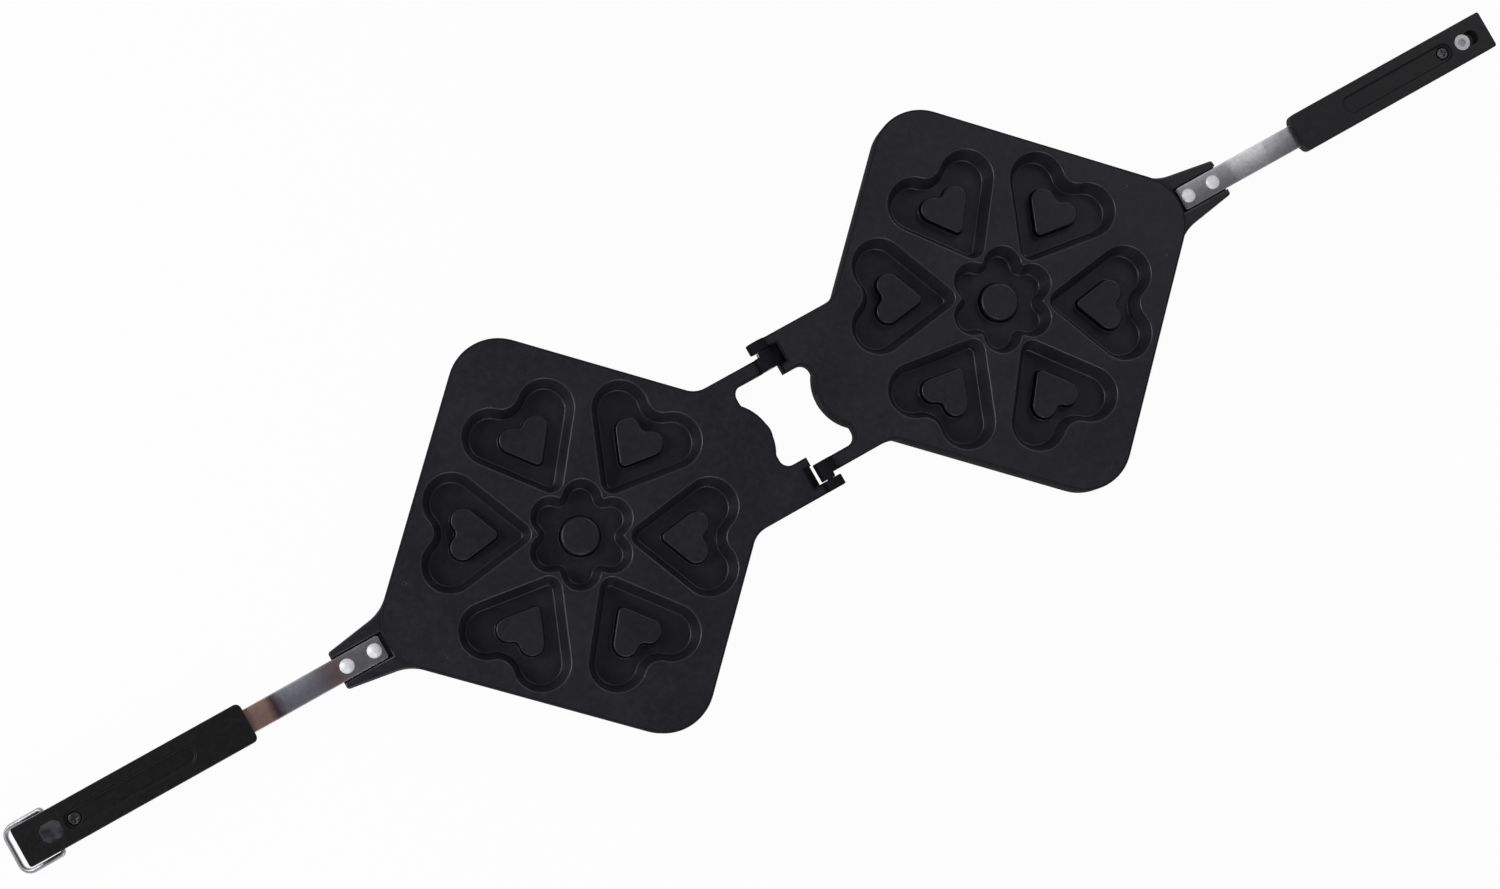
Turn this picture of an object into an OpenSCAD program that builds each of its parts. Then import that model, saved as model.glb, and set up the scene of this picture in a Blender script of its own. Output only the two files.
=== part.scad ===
// A double pan for the stovetop, lying open. Two cast halves meet at a hinge. Each half is
// a square plate, corner to the hinge, with six heart cavities round a flower cavity, and
// carries a flat steel strap with a moulded half-grip. A wire bail on the left grip swings
// over the right one to hold the pan shut.
//
// Frame: +X runs along the grips, +Y across, +Z up. The origin lies on the resting surface
// under the middle of the hinge. Every half is drawn on the +X side, as the right one, and
// the left one is that shape turned half a turn about Z.

/* [Plates] */
// Side of the square plate
plate_side = 160; // [156:1:176]
// Radius of the plate's corners
plate_corner_r = 24; // [18:1:30]
// Height of the parting face above the resting surface
plate_h = 14; // [13.5:0.5:18]
// Thickness of the deck between the cavities
deck_t = 4; // [3:0.5:6]
// Width of the rim that stands on the stove
rim_w = 4; // [3:0.5:5]
// From the hinge axis to the sharp corner of the plate's square
hinge_to_corner = 4.2; // [3:0.1:8]

/* [Cavities] */
// Number of hearts, and of petals on the flower
heart_count = 6; // [4:1:6]
// Depth of the cavities
cavity_depth = 10.5; // [8:0.5:11]
// How far the drafted wall leans in from the lip to the floor
wall_run = 3.4; // [2:0.1:5]
// Metal left between a cavity's lip and the hollow underneath
bulge_wall = 2; // [1:0.2:2.4]
// From the plate's centre to a heart's tip
heart_tip_dist = 23.5; // [23:0.5:26]
// Width of a heart at its lip
heart_w = 56.7; // [52:0.1:57]
// Metal between a heart's lobes and the side of the plate
lip_to_edge = 3.8; // [3.5:0.1:6]
// Radius of a heart's lobes
lobe_r = 13.7; // [11:0.1:14]
// Radius of a heart's tip
tip_r = 6; // [1:0.5:6.5]
// How far the lip dips between the lobes
notch_dip = 5.7; // [3:0.1:7]
// Height of the raised figure on a cavity's floor
figure_h = 5; // [2:0.5:6]
// Width of the raised heart on a heart's floor
figure_w = 24.6; // [16:0.1:26]
// Radius of the flower at its petals
flower_r = 26.4; // [22:0.1:26.6]
// Radius of a petal
petal_r = 9.6; // [9:0.1:11]
// Radius of the notch between petals
petal_notch_r = 1.2; // [0.6:0.2:2]
// Radius of the round figure on the flower's floor
flower_figure_r = 9.2; // [6:0.2:10]

/* [Hinge] */
// Thickness of the hinge tab
tab_t = 8; // [7:0.5:10]
// Radius of the knuckles
knuckle_r = 5; // [4:0.5:6]
// Radius of the hinge pins
hinge_pin_r = 2; // [1.5:0.1:2.5]
// Play between a pin and the tongue's bore
pin_play = 0.06; // [0.02:0.01:0.1]
// Gap between the two parting faces when the pan is shut
closed_gap = 0.4; // [0.3:0.1:1]
// Half width of the tab on the fork's side
fork_y = 40; // [38:0.5:44]
// Thickness of the fork's outer cheek
fork_cheek_t = 5.3; // [4:0.1:7]
// Width of the fork's slot
fork_slot_w = 10; // [9:0.1:12]
// Thickness of the fork's inner cheek
fork_inner_t = 4.7; // [3:0.1:6]
// Where the inner cheek ends, from the hinge axis
fork_inner_x = 5.5; // [0:0.1:8]
// How far the fork's slot reaches past the hinge axis
slot_x = 9.4; // [8.5:0.1:12]
// Gap between the tongue's knuckle and the heel at the foot of the slot
heel_gap = 1.8; // [1:0.1:3]
// Thickness of the heel
heel_t = 3; // [2:0.5:4]
// Thickness of the tongue
tongue_t = 7.3; // [6:0.1:8]
// Gap between the tongue and the fork's cheeks
tongue_gap = 0.3; // [0.2:0.05:0.6]
// Where the flat side of the tongue's half-round cheek lies, past the axis
cheek_flat_x = 1.5; // [0:0.1:2]
// Radius where the tab runs into the plate
tab_fillet_r = 12; // [6:1:16]

/* [Tab cut-out] */
// Distance of the cut-out's middle bump from the hinge axis
bump_x = 13.8; // [10:0.1:16]
// Distance of the pocket on the fork's side from the hinge axis
fork_pocket_x = 17.5; // [16.5:0.1:22]
// Distance of the pocket on the tongue's side from the hinge axis
tongue_pocket_x = 20.8; // [17:0.1:24]
// Radius of the cut-out's corners
pocket_r = 4.8; // [2:0.2:6]

/* [Strap boss] */
// Length of the boss past the plate's corner
boss_l = 25.8; // [25:0.1:31]
// Thickness of a fin at its end
fin_t = 3.3; // [3:0.1:5]
// How much the boss widens for each millimetre towards the plate
fin_flare = 0.16; // [0.05:0.01:0.25]
// Gap between the strap and each fin
channel_play = 0.5; // [0.2:0.1:1]
// Radius where a fin runs into the side of the plate
fin_fillet_r = 22; // [8:1:30]
// How far the fins lie below the parting face
fin_drop = 2.3; // [1:0.1:3.4]
// Height of the boss
boss_t = 9.2; // [7:0.1:11]
// Radius of the fins' tips
fin_tip_r = 1.5; // [0.5:0.1:1.6]

/* [Straps] */
// Width of the strap
strap_w = 12; // [10:0.2:12.2]
// Thickness of the strap
strap_t = 2; // [1.6:0.1:2.4]
// Gap between the channel's end wall and the strap
strap_end_gap = 2; // [0.5:0.1:3]
// How far the strap's top lies below the parting face in the channel
strap_drop = 3.5; // [3:0.1:4.5]
// Radius of the corners at the strap's end in the channel
strap_corner_r = 1.5; // [0.5:0.1:3]
// From the end of the boss to the strap's bend
strap_bend_gap = 3.2; // [1:0.1:6]
// Straight stretch of the strap before the grip
strap_lead_l = 6; // [3:0.5:10]
// How far the strap reaches past the grip screw
strap_past_screw = 6; // [4:0.5:6.5]

/* [Rivets] */
// Distance of the first rivet from the strap's end
rivet_edge = 4.6; // [4:0.1:6]
// Distance between the rivets
rivet_pitch = 14.3; // [10:0.1:15]
// Radius of a rivet's shank
rivet_r = 2; // [1.5:0.1:2.4]
// Radius of a rivet's head
rivet_head_r = 3.5; // [3:0.1:4.2]
// Height of a rivet's domed head
rivet_head_h = 1.5; // [1:0.1:1.8]
// Height of the flat head closed under the boss
rivet_tail_h = 1; // [0.6:0.1:1.4]

/* [Grips] */
// Gap between the strap boss and the grip
grip_gap = 46.2; // [44:0.5:56]
// Length of a grip
grip_l = 115; // [113:0.5:125]
// Width of a grip
grip_w = 19.7; // [17:0.1:22]
// Thickness of a grip
grip_t = 9.5; // [9:0.1:9.7]
// Radius of the long edges on the grip's outer side
grip_edge_r = 4; // [2:0.5:4.5]
// Radius of the outer edge at the grip's free end
grip_end_r = 7; // [6.8:0.1:7.5]
// Radius of the corners at the grip's root
grip_root_r = 2.5; // [1:0.5:4]
// Radius of the corners at the grip's free end
grip_tip_r = 1.2; // [0.5:0.1:2]
// How far the grip's inner face lies below the parting face at its root
grip_drop = 2.3; // [2.2:0.1:3]
// Slope of the grip towards its free end, in degrees
grip_tilt = 1; // [0.6:0.1:1]
// Play between strap and grip
tang_play = 0.1; // [0.05:0.05:0.2]

/* [Grip recesses] */
// Where the long recess starts, from the grip's root
recess_x = 27.3; // [20:0.1:40]
// Width of the long recess and of the screw's seat
recess_w = 9.3; // [8:0.1:10]
// Depth of the long recess
recess_t = 1.6; // [0.8:0.1:2.2]
// Depth of the screw's seat
seat_t = 2.8; // [2.4:0.1:3]
// Wall between the screw's seat and the magnet's seat
seat_wall = 1.75; // [1:0.05:3]
// Radius of the grip screw's shank
screw_r = 1.5; // [1:0.1:2]
// Radius of the grip screw's head
screw_head_r = 2.7; // [2.2:0.1:3.2]
// Height of the grip screw's head
screw_head_h = 1.6; // [1.2:0.1:2]
// Length of the grip screw's shank
screw_l = 4.8; // [4.2:0.1:5.2]
// Width of the slots in the grip screw's head
screw_slot_w = 0.8; // [0.5:0.1:1]

/* [Latch] */
// From the bail's pivot to the grip's free end
pivot_to_end = 15.5; // [13.5:0.1:17]
// Depth of the bail's pivot below the grip's inner face
pivot_drop = 5.5; // [5:0.1:5.8]
// Radius of the bail's wire
wire_r = 1.2; // [1:0.05:1.3]
// Gap between the crossbar and the other grip's end, as the bail swings over it
bail_swing_gap = 0.3; // [0.2:0.1:1]
// Gap between the bail's legs and the grip's sides
bail_side_gap = 0.3; // [0.2:0.05:0.6]
// Bend radius of the bail's outer corners
bail_bend_r = 5; // [3:0.5:7]
// Bend radius where a leg turns into the grip
bail_hook_r = 1.5; // [1.3:0.05:1.5]
// How far the bail's ends reach into the grip
bail_end_l = 5; // [3:0.5:6]
// Play between the bail's ends and their hole
bail_play = 0.08; // [0.04:0.01:0.1]
// Length of the magnet along the grip
magnet_l = 10; // [8:0.5:11]
// Width of the magnet across the grip
magnet_w = 9; // [7:0.5:10]
// How much is cut off each corner of the magnet
magnet_corner = 2.2; // [0.5:0.1:3]
// Thickness of the magnet, and of the striker disc
magnet_t = 2; // [1.5:0.1:2.2]
// Play round the magnet and the striker disc
magnet_play = 0.1; // [0.05:0.01:0.15]
// Radius of the striker disc
striker_r = 4; // [3:0.1:4.5]
// From the striker disc to the round pocket beside it
pocket_gap = 5.2; // [4.5:0.1:6]
// Radius of that pocket
round_pocket_r = 3.8; // [3:0.1:4.2]
// Depth of that pocket
round_pocket_t = 3; // [2.4:0.1:3.5]

/* [Hidden] */
$fn = 64;

// Overshoot of a cutting solid past the face that it opens
over = 1;

// Plate and hinge
plate_cx = plate_side / sqrt(2) + hinge_to_corner;
plate_reach = plate_cx + plate_side / sqrt(2);
plate_tip_x = plate_reach - plate_corner_r * (sqrt(2) - 1);
axis_z = plate_h + closed_gap / 2;
slot_y1 = fork_y - fork_cheek_t;
slot_y0 = slot_y1 - fork_slot_w;
inner_y = slot_y0 - fork_inner_t;
tongue_y0 = slot_y0 + tongue_gap;
tongue_y1 = tongue_y0 + tongue_t;
tab_reach = fork_y + hinge_to_corner + tab_fillet_r;

// Heart outline: tip circle, tangent side, lobe circle, and an arc through the notch
heart_turn = 45 - 180 / heart_count;
lobe_x = heart_w / 2 - lobe_r;
lobe_y = (plate_side / 2 - lip_to_edge - lobe_r - lobe_x * sin(heart_turn)) / cos(heart_turn)
    - heart_tip_dist;
heart_l = lobe_y + lobe_r;
notch_rise = lobe_r - notch_dip;
notch_r = (lobe_x ^ 2 + notch_rise ^ 2 - lobe_r ^ 2) / (2 * notch_dip);
notch_y = lobe_y + notch_rise + notch_r;
side_angle = atan2(lobe_x, lobe_y - tip_r)
    + asin((lobe_r - tip_r) / norm([lobe_x, lobe_y - tip_r]));
join_angle = 180 - atan2(notch_y - lobe_y, lobe_x);
tip_r_min = 0.3;
tip_steps = 3;
lobe_steps = 12;
notch_steps = 4;

// Flower outline: petal circles, joined by an arc in each notch
petal_half = 180 / heart_count;
petal_c = flower_r - petal_r;
petal_notch_c = petal_c * cos(petal_half)
    + sqrt((petal_r + petal_notch_r) ^ 2 - (petal_c * sin(petal_half)) ^ 2);
petal_sweep = atan2(petal_notch_c * sin(petal_half),
                    petal_notch_c * cos(petal_half) - petal_c);
petal_steps = 8;
petal_notch_steps = 3;

// Raised figures: how far their foot spreads, and how far they sink into the floor
figure_spread = 1;
figure_root = 1;
figure_scale = figure_w / heart_w;
figure_y = heart_tip_dist + heart_l * (1 - figure_scale) / 2 + figure_spread;

// Strap boss, strap and rivets
fin_end_x = plate_tip_x + boss_l;
channel_w = strap_w + 2 * channel_play;
fin_end_y = channel_w / 2 + fin_t;
fin_tip_x = fin_end_x - fin_tip_r;
fin_lean = atan(fin_flare);
channel_z = plate_h - strap_drop - strap_t;
boss_z = plate_h - fin_drop - boss_t;
strap_x0 = plate_tip_x + strap_end_gap;
strap_x1 = fin_end_x + strap_bend_gap;
strap_slant_l = fin_end_x + grip_gap - strap_lead_l - strap_x1;
strap_mid = grip_t / 2;
rivet_xs = [for (i = [0, 1]) strap_x0 + rivet_edge + i * rivet_pitch];

// Grip frame: X runs out along the grip from its root, Z = 0 is its inner face
grip_x0 = fin_end_x + grip_gap;
grip_z0 = plate_h - grip_drop;
pivot_x = grip_l - pivot_to_end;
screw_x = pivot_x - magnet_l / 2 - magnet_play - seat_wall - recess_w / 2;
strap_tang_l = screw_x + strap_past_screw;
strap_x3 = grip_x0 + strap_tang_l * cos(grip_tilt);
screw_bore_play = 0.2;
screw_tip_gap = 0.5;

// Latch
pivot_z = grip_z0 + pivot_x * sin(grip_tilt) - pivot_drop * cos(grip_tilt);
shut_gap = 2 * (axis_z - grip_z0 - pivot_x * sin(grip_tilt));
far_end = [pivot_to_end - grip_end_r, pivot_drop + shut_gap + grip_t - grip_end_r];
bail_r = norm(far_end) + grip_end_r + bail_swing_gap + wire_r;
bail_angle = asin((pivot_z - wire_r) / bail_r);
leg_y = grip_w / 2 + bail_side_gap + wire_r;
flush_gap = 0.1;

// Eases from 0 to 1 with level ends
function ease(t) = (1 - cos(180 * max(0, min(1, t)))) / 2;

// Points along an arc from angle a0 to angle a1, without those before the first wanted
function arc(c, r, a0, a1, steps, first = 0) =
    [for (i = [first : steps]) let (a = a0 + (a1 - a0) * i / steps) c + r * [cos(a), sin(a)]];

// The list without its first and last points, in reverse order and mirrored in the Y axis
function mirrored(points) =
    [for (i = [len(points) - 2 : -1 : 1]) [-points[i].x, points[i].y]];

// Right half of a heart with its tip at the origin, drawn in by d all round
function heart_half(d) =
    let (r_tip = max(tip_r - d, tip_r_min),
         tip_c = [0, tip_r + (r_tip - tip_r + d) / sin(side_angle)])
    concat(
        arc(tip_c, r_tip, -90, -side_angle, tip_steps),
        arc([lobe_x, lobe_y], lobe_r - d, -side_angle, join_angle, lobe_steps),
        arc([0, notch_y], notch_r + d, join_angle - 180, -90, notch_steps, first = 1)
    );
function heart_ring(d) = let (half = heart_half(d)) concat(half, mirrored(half));

// A flower about the origin, drawn in by d all round
function flower_ring(d) =
    [for (k = [0 : heart_count - 1])
        let (a = 2 * petal_half * k,
             notch_a = a + petal_half)
        each concat(
            arc(petal_c * [cos(a), sin(a)], petal_r - d,
                a - petal_sweep, a + petal_sweep, petal_steps),
            [for (i = [1 : petal_notch_steps - 1])
                let (turn = petal_sweep - petal_half,
                     b = notch_a + 180 + turn * (1 - 2 * i / petal_notch_steps))
                petal_notch_c * [cos(notch_a), sin(notch_a)]
                    + (petal_notch_r + d) * [cos(b), sin(b)]]
        )];

// Height of the strap's middle at distance x from the hinge axis
function strap_z(x) =
    let (level = channel_z + strap_t / 2,
         sloped = grip_z0 - strap_mid / cos(grip_tilt) + (x - grip_x0) * tan(grip_tilt))
    level + (sloped - level) * ease((x - strap_x1) / strap_slant_l);

// A solid through two outlines with equal numbers of points, the low one first
module loft(low, z0, high, z1) {
    n = len(low);
    points = concat([for (p = low) [p.x, p.y, z0]], [for (p = high) [p.x, p.y, z1]]);
    sides = [for (i = [0 : n - 1]) [i, n + i, n + (i + 1) % n, (i + 1) % n]];
    polyhedron(points, concat([[for (i = [0 : n - 1]) i], [for (i = [n - 1 : -1 : 0]) n + i]], sides));
}

// Turns what is drawn for the right half into the left half
module left_side() {
    rotate([0, 0, 180]) children();
}

// Places what is drawn in the grip frame
module on_grip() {
    translate([grip_x0, 0, grip_z0]) rotate([0, -grip_tilt, 0]) children();
}

// Extrudes a side view, drawn with X outwards and Y up, across Y from y0 to y1
module across(y0, y1) {
    translate([0, y1, 0]) rotate([90, 0, 0]) linear_extrude(y1 - y0) children();
}

// A square with round corners, about the origin
module rounded_square(side, r) {
    square([side, side - 2 * r], center = true);
    square([side - 2 * r, side], center = true);
    for (sx = [-1, 1], sy = [-1, 1])
        translate([sx, sy] * (side / 2 - r)) circle(r);
}

// A slot with round ends between x0 and x1
module stadium(x0, x1, w) {
    translate([x0 + w / 2, -w / 2]) square([x1 - x0 - w, w]);
    for (x = [x0 + w / 2, x1 - w / 2]) translate([x, 0]) circle(w / 2);
}

// Places a child, drawn with +Y outwards, at each heart of the right plate
module at_hearts() {
    for (k = [0 : heart_count - 1])
        rotate(360 / heart_count * (k + 0.5) - 90) children();
}

// The outlines of all cavities, grown by the wall, as they show underneath
module bulges_2d() {
    at_hearts() translate([0, heart_tip_dist]) polygon(heart_ring(-bulge_wall));
    polygon(flower_ring(-bulge_wall));
}

// The plate with its rim and its hollow underside
module plate_shell() {
    translate([plate_cx, 0, 0]) difference() {
        linear_extrude(plate_h) rotate(45) rounded_square(plate_side, plate_corner_r);
        translate([0, 0, -over]) linear_extrude(plate_h - deck_t + over) difference() {
            rotate(45) rounded_square(plate_side - 2 * rim_w, plate_corner_r - rim_w);
            bulges_2d();
        }
    }
}

// The cavities, cut from the parting face with drafted walls
module cavities() {
    lean = over * wall_run / cavity_depth;
    z0 = plate_h - cavity_depth;
    z1 = plate_h + over;
    translate([plate_cx, 0, 0]) {
        at_hearts() translate([0, heart_tip_dist, 0])
            loft(heart_ring(wall_run), z0, heart_ring(-lean), z1);
        loft(flower_ring(wall_run), z0, flower_ring(-lean), z1);
    }
}

// The raised figures on the floors: a small heart in each heart, a round in the flower
module figures() {
    z0 = plate_h - cavity_depth - figure_root;
    height = figure_h + figure_root;
    translate([plate_cx, 0, 0]) {
        at_hearts() translate([0, figure_y, 0])
            loft(figure_scale * heart_ring(-figure_spread), z0,
                 figure_scale * heart_ring(0), z0 + height);
        translate([0, 0, z0])
            cylinder(h = height, r1 = flower_figure_r + figure_spread, r2 = flower_figure_r);
    }
}

// The fill of the corner where the tab's edge at y meets the plate's slanting edge
module tab_fillet_2d(y) {
    t = tab_fillet_r * tan(22.5);
    corner = [hinge_to_corner + y, y];
    polygon(concat([corner + [over, -over]],
                   arc(corner + [-t, tab_fillet_r], tab_fillet_r, -90, -45, 6)));
}

// The opening that the two tabs leave between them: pockets by the arms, a bump between
module tab_cutout_2d() {
    steps = 12;
    fork_wave = inner_y - pocket_r - 2;
    tongue_wave = tongue_y0 - pocket_r - 2;
    polygon(concat(
        [[-knuckle_r - over, -tongue_y0]],
        arc([tongue_pocket_x - pocket_r, -tongue_y0 + pocket_r], pocket_r, -90, 0, 6),
        [for (i = [0 : steps - 1]) let (y = -tongue_wave * (1 - i / steps))
            [bump_x + (tongue_pocket_x - bump_x) * ease(-y / tongue_wave), y]],
        [for (i = [0 : steps]) let (y = fork_wave * i / steps)
            [bump_x + (fork_pocket_x - bump_x) * ease(y / fork_wave), y]],
        arc([fork_pocket_x - pocket_r, inner_y - pocket_r], pocket_r, 0, 90, 6),
        [[-knuckle_r - over, inner_y]]
    ));
}

// The hinge tab from above, without its knuckles
module tab_2d() {
    difference() {
        union() {
            translate([0, -tongue_y1]) square([tab_reach, tongue_y1 + fork_y]);
            tab_fillet_2d(fork_y);
            mirror([0, 1]) tab_fillet_2d(tongue_y1);
        }
        tab_cutout_2d();
        translate([-over, inner_y - over]) square([fork_inner_x + over, slot_y0 - inner_y + 2 * over]);
    }
}

// The tab with the fork's cheek and the tongue, both round about the hinge axis
module tab() {
    cheek_y1 = slot_y1 - tongue_gap;
    translate([0, 0, plate_h - tab_t]) linear_extrude(tab_t) tab_2d();
    across(slot_y1, fork_y) translate([0, axis_z]) circle(knuckle_r);
    across(-tongue_y1, -tongue_y0) translate([0, axis_z]) circle(knuckle_r);
    across(-cheek_y1, -tongue_y1 + over / 2) translate([0, axis_z]) intersection() {
        circle(knuckle_r);
        translate([-knuckle_r, -knuckle_r]) square([knuckle_r + cheek_flat_x, 2 * knuckle_r]);
    }
}

// The slot that the other half's tongue turns in, with a heel that narrows its foot
module fork_slot() {
    inner_end = -knuckle_r - over;
    heel_x = knuckle_r + heel_gap;
    heel_z = plate_h - tab_t + heel_t;
    top = axis_z + knuckle_r + over;
    across(slot_y0, slot_y1) polygon([
        [inner_end, -over], [heel_x, -over], [heel_x, heel_z],
        [slot_x, heel_z], [slot_x, top], [inner_end, top]]);
}

// The bores: a press fit in the fork's cheek, a running fit in the tongue
module hinge_bores() {
    across(slot_y1 - over, fork_y + over) translate([0, axis_z]) circle(hinge_pin_r);
    across(-slot_y1, -tongue_y0 + over) translate([0, axis_z]) circle(hinge_pin_r + pin_play);
}

// The fill of the corner where a fin's outer face meets the plate's slanting edge
module fin_fillet_2d() {
    steps = 6;
    edge_angle = 135;
    half = (edge_angle + fin_lean) / 2;
    turn = edge_angle - half;
    x = (plate_reach - fin_end_y - fin_flare * fin_tip_x) / (1 - fin_flare);
    corner = [x, plate_reach - x];
    centre = corner + fin_fillet_r / sin(half) * [cos(turn), sin(turn)];
    polygon(concat([corner - [over, 2 * over]],
                   arc(centre, fin_fillet_r, -90 - fin_lean, edge_angle - 270, steps)));
}

// The boss under the strap, with a fin on each side
module strap_boss() {
    root_x = plate_tip_x - plate_corner_r / 2;
    root_y = fin_end_y + fin_flare * (fin_tip_x - root_x);
    tip_y = fin_end_y - fin_tip_r;
    difference() {
        translate([0, 0, boss_z]) linear_extrude(boss_t) {
            polygon([[root_x, -root_y], [fin_tip_x, -fin_end_y],
                     [fin_tip_x, fin_end_y], [root_x, root_y]]);
            translate([root_x, -tip_y]) square([fin_end_x - root_x, 2 * tip_y]);
            for (s = [-1, 1]) translate([fin_tip_x, s * tip_y]) circle(fin_tip_r);
            fin_fillet_2d();
            mirror([0, 1]) fin_fillet_2d();
        }
        translate([plate_tip_x, -channel_w / 2, channel_z])
            cube([fin_end_x - plate_tip_x + over, channel_w, boss_t]);
    }
}

// The rivet holes through strap and boss
module rivet_holes() {
    for (x = rivet_xs)
        translate([x, 0, boss_z - over])
            cylinder(h = boss_t + 2 * over, r = rivet_r);
}

// One cast half, drawn as the right one
module plate() {
    difference() {
        union() {
            plate_shell();
            tab();
            strap_boss();
        }
        fork_slot();
        hinge_bores();
        rivet_holes();
        cavities();
    }
    figures();
}

// The pin of one fork, pressed into its cheek and reaching through the other tongue
module hinge_pin() {
    across(tongue_y0 + flush_gap, fork_y - flush_gap)
        translate([0, axis_z]) circle(hinge_pin_r);
}

// Plan of a strap, with round corners at the end in the channel
module strap_plan() {
    translate([strap_x0 + strap_corner_r, -strap_w / 2])
        square([strap_x3 - strap_x0 - strap_corner_r, strap_w]);
    translate([strap_x0, -strap_w / 2 + strap_corner_r])
        square([2 * strap_corner_r, strap_w - 2 * strap_corner_r]);
    for (s = [-1, 1])
        translate([strap_x0 + strap_corner_r, s * (strap_w / 2 - strap_corner_r)])
            circle(strap_corner_r);
}

// The flat bar from the boss to the grip's screw
module strap() {
    steps = 16;
    xs = concat([strap_x0], [for (i = [0 : steps]) strap_x1 + strap_slant_l * i / steps],
                [grip_x0, strap_x3]);
    difference() {
        intersection() {
            across(-strap_w / 2, strap_w / 2)
                polygon(concat([for (x = xs) [x, strap_z(x) - strap_t / 2]],
                               [for (i = [len(xs) - 1 : -1 : 0]) [xs[i], strap_z(xs[i]) + strap_t / 2]]));
            linear_extrude(plate_h) strap_plan();
        }
        rivet_holes();
        on_grip() translate([screw_x, 0, -grip_t]) cylinder(h = grip_t, r = screw_r);
    }
}

// Two rivets: domed head on the strap, flat head under the boss
module rivets() {
    dome_r = (rivet_head_r ^ 2 + rivet_head_h ^ 2) / (2 * rivet_head_h);
    top = channel_z + strap_t;
    for (x = rivet_xs) translate([x, 0, 0]) {
        translate([0, 0, boss_z - rivet_tail_h]) cylinder(h = rivet_tail_h, r = rivet_head_r);
        translate([0, 0, boss_z]) cylinder(h = top - boss_z, r = rivet_r);
        intersection() {
            translate([0, 0, top + rivet_head_h - dome_r]) sphere(dome_r);
            translate([0, 0, top]) cylinder(h = rivet_head_h + over, r = rivet_head_r);
        }
    }
}

// Cross-section of a grip: flat inner face at the top, round long edges below
module grip_section() {
    translate([-grip_w / 2, -grip_t + grip_edge_r]) square([grip_w, grip_t - grip_edge_r]);
    translate([-grip_w / 2 + grip_edge_r, -grip_t]) square([grip_w - 2 * grip_edge_r, grip_t]);
    for (s = [-1, 1])
        translate([s * (grip_w / 2 - grip_edge_r), -grip_t + grip_edge_r]) circle(grip_edge_r);
}

// Side view of a grip: its lower edge is round at the free end, so the bail can pass
module grip_side() {
    translate([0, -grip_t + grip_end_r]) square([grip_l, grip_t - grip_end_r]);
    translate([0, -grip_t]) square([grip_l - grip_end_r, grip_t]);
    translate([grip_l - grip_end_r, -grip_t + grip_end_r]) circle(grip_end_r);
}

// Plan of a grip: round corners at the root, tight ones at the free end
module grip_plan() {
    translate([grip_root_r, -grip_w / 2]) square([grip_l - grip_root_r - grip_tip_r, grip_w]);
    translate([0, -grip_w / 2 + grip_root_r]) square([grip_l / 2, grip_w - 2 * grip_root_r]);
    translate([grip_l / 2, -grip_w / 2 + grip_tip_r])
        square([grip_l / 2, grip_w - 2 * grip_tip_r]);
    for (s = [-1, 1]) {
        translate([grip_root_r, s * (grip_w / 2 - grip_root_r)]) circle(grip_root_r);
        translate([grip_l - grip_tip_r, s * (grip_w / 2 - grip_tip_r)]) circle(grip_tip_r);
    }
}

// A grip with what both have: the strap's socket, the long recess and the screw's seat
module grip_body() {
    difference() {
        intersection() {
            rotate([90, 0, 90]) linear_extrude(grip_l) grip_section();
            across(-grip_w / 2, grip_w / 2) grip_side();
            translate([0, 0, -grip_t]) linear_extrude(grip_t) grip_plan();
        }
        translate([-over, -strap_w / 2 - tang_play, -strap_mid - strap_t / 2 - tang_play])
            cube([strap_tang_l + over + tang_play * 3, strap_w + 2 * tang_play, strap_t + 2 * tang_play]);
        translate([0, 0, -recess_t]) linear_extrude(recess_t + over)
            stadium(recess_x, screw_x + recess_w / 2, recess_w);
        translate([screw_x, 0, -seat_t]) cylinder(h = seat_t + over, r = recess_w / 2);
        translate([screw_x, 0, -seat_t - screw_l - screw_tip_gap])
            cylinder(h = screw_l + screw_tip_gap + over, r = screw_r + screw_bore_play);
    }
}

// The screw that holds a grip on its strap, with a cross slot
module grip_screw() {
    on_grip() translate([screw_x, 0, -seat_t]) {
        translate([0, 0, -screw_l]) cylinder(h = screw_l, r = screw_r);
        difference() {
            cylinder(h = screw_head_h, r = screw_head_r);
            for (a = [0, 90]) rotate(a)
                translate([-screw_head_r * 0.7, -screw_slot_w / 2, screw_head_h / 2])
                    cube([screw_head_r * 1.4, screw_slot_w, screw_head_h]);
        }
    }
}

// Outline of the magnet from above, grown by the play round it
module magnet_2d(play) {
    l = magnet_l / 2 + play;
    w = magnet_w / 2 + play;
    c = magnet_corner;
    polygon([[c - l, -w], [l - c, -w], [l, c - w], [l, w - c],
             [l - c, w], [c - l, w], [-l, w - c], [-l, c - w]]);
}

module right_plate() {
    color([0.16, 0.16, 0.18]) plate();
}

module left_plate() {
    color([0.16, 0.16, 0.18]) left_side() plate();
}

module right_hinge_pin() {
    color([0.72, 0.72, 0.74]) hinge_pin();
}

module left_hinge_pin() {
    color([0.72, 0.72, 0.74]) left_side() hinge_pin();
}

module right_strap() {
    color([0.70, 0.70, 0.72]) strap();
}

module left_strap() {
    color([0.66, 0.63, 0.61]) left_side() strap();
}

module right_rivets() {
    color([0.85, 0.85, 0.87]) rivets();
}

module left_rivets() {
    color([0.85, 0.85, 0.87]) left_side() rivets();
}

// The right grip has a seat for the striker disc and a blind round pocket beside it
module right_grip() {
    color([0.10, 0.10, 0.10]) on_grip() difference() {
        grip_body();
        translate([pivot_x, 0, -magnet_t - flush_gap])
            cylinder(h = magnet_t + flush_gap + over, r = striker_r + magnet_play);
        translate([pivot_x + pocket_gap, 0, -round_pocket_t])
            cylinder(h = round_pocket_t + over, r = round_pocket_r);
    }
}

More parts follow.
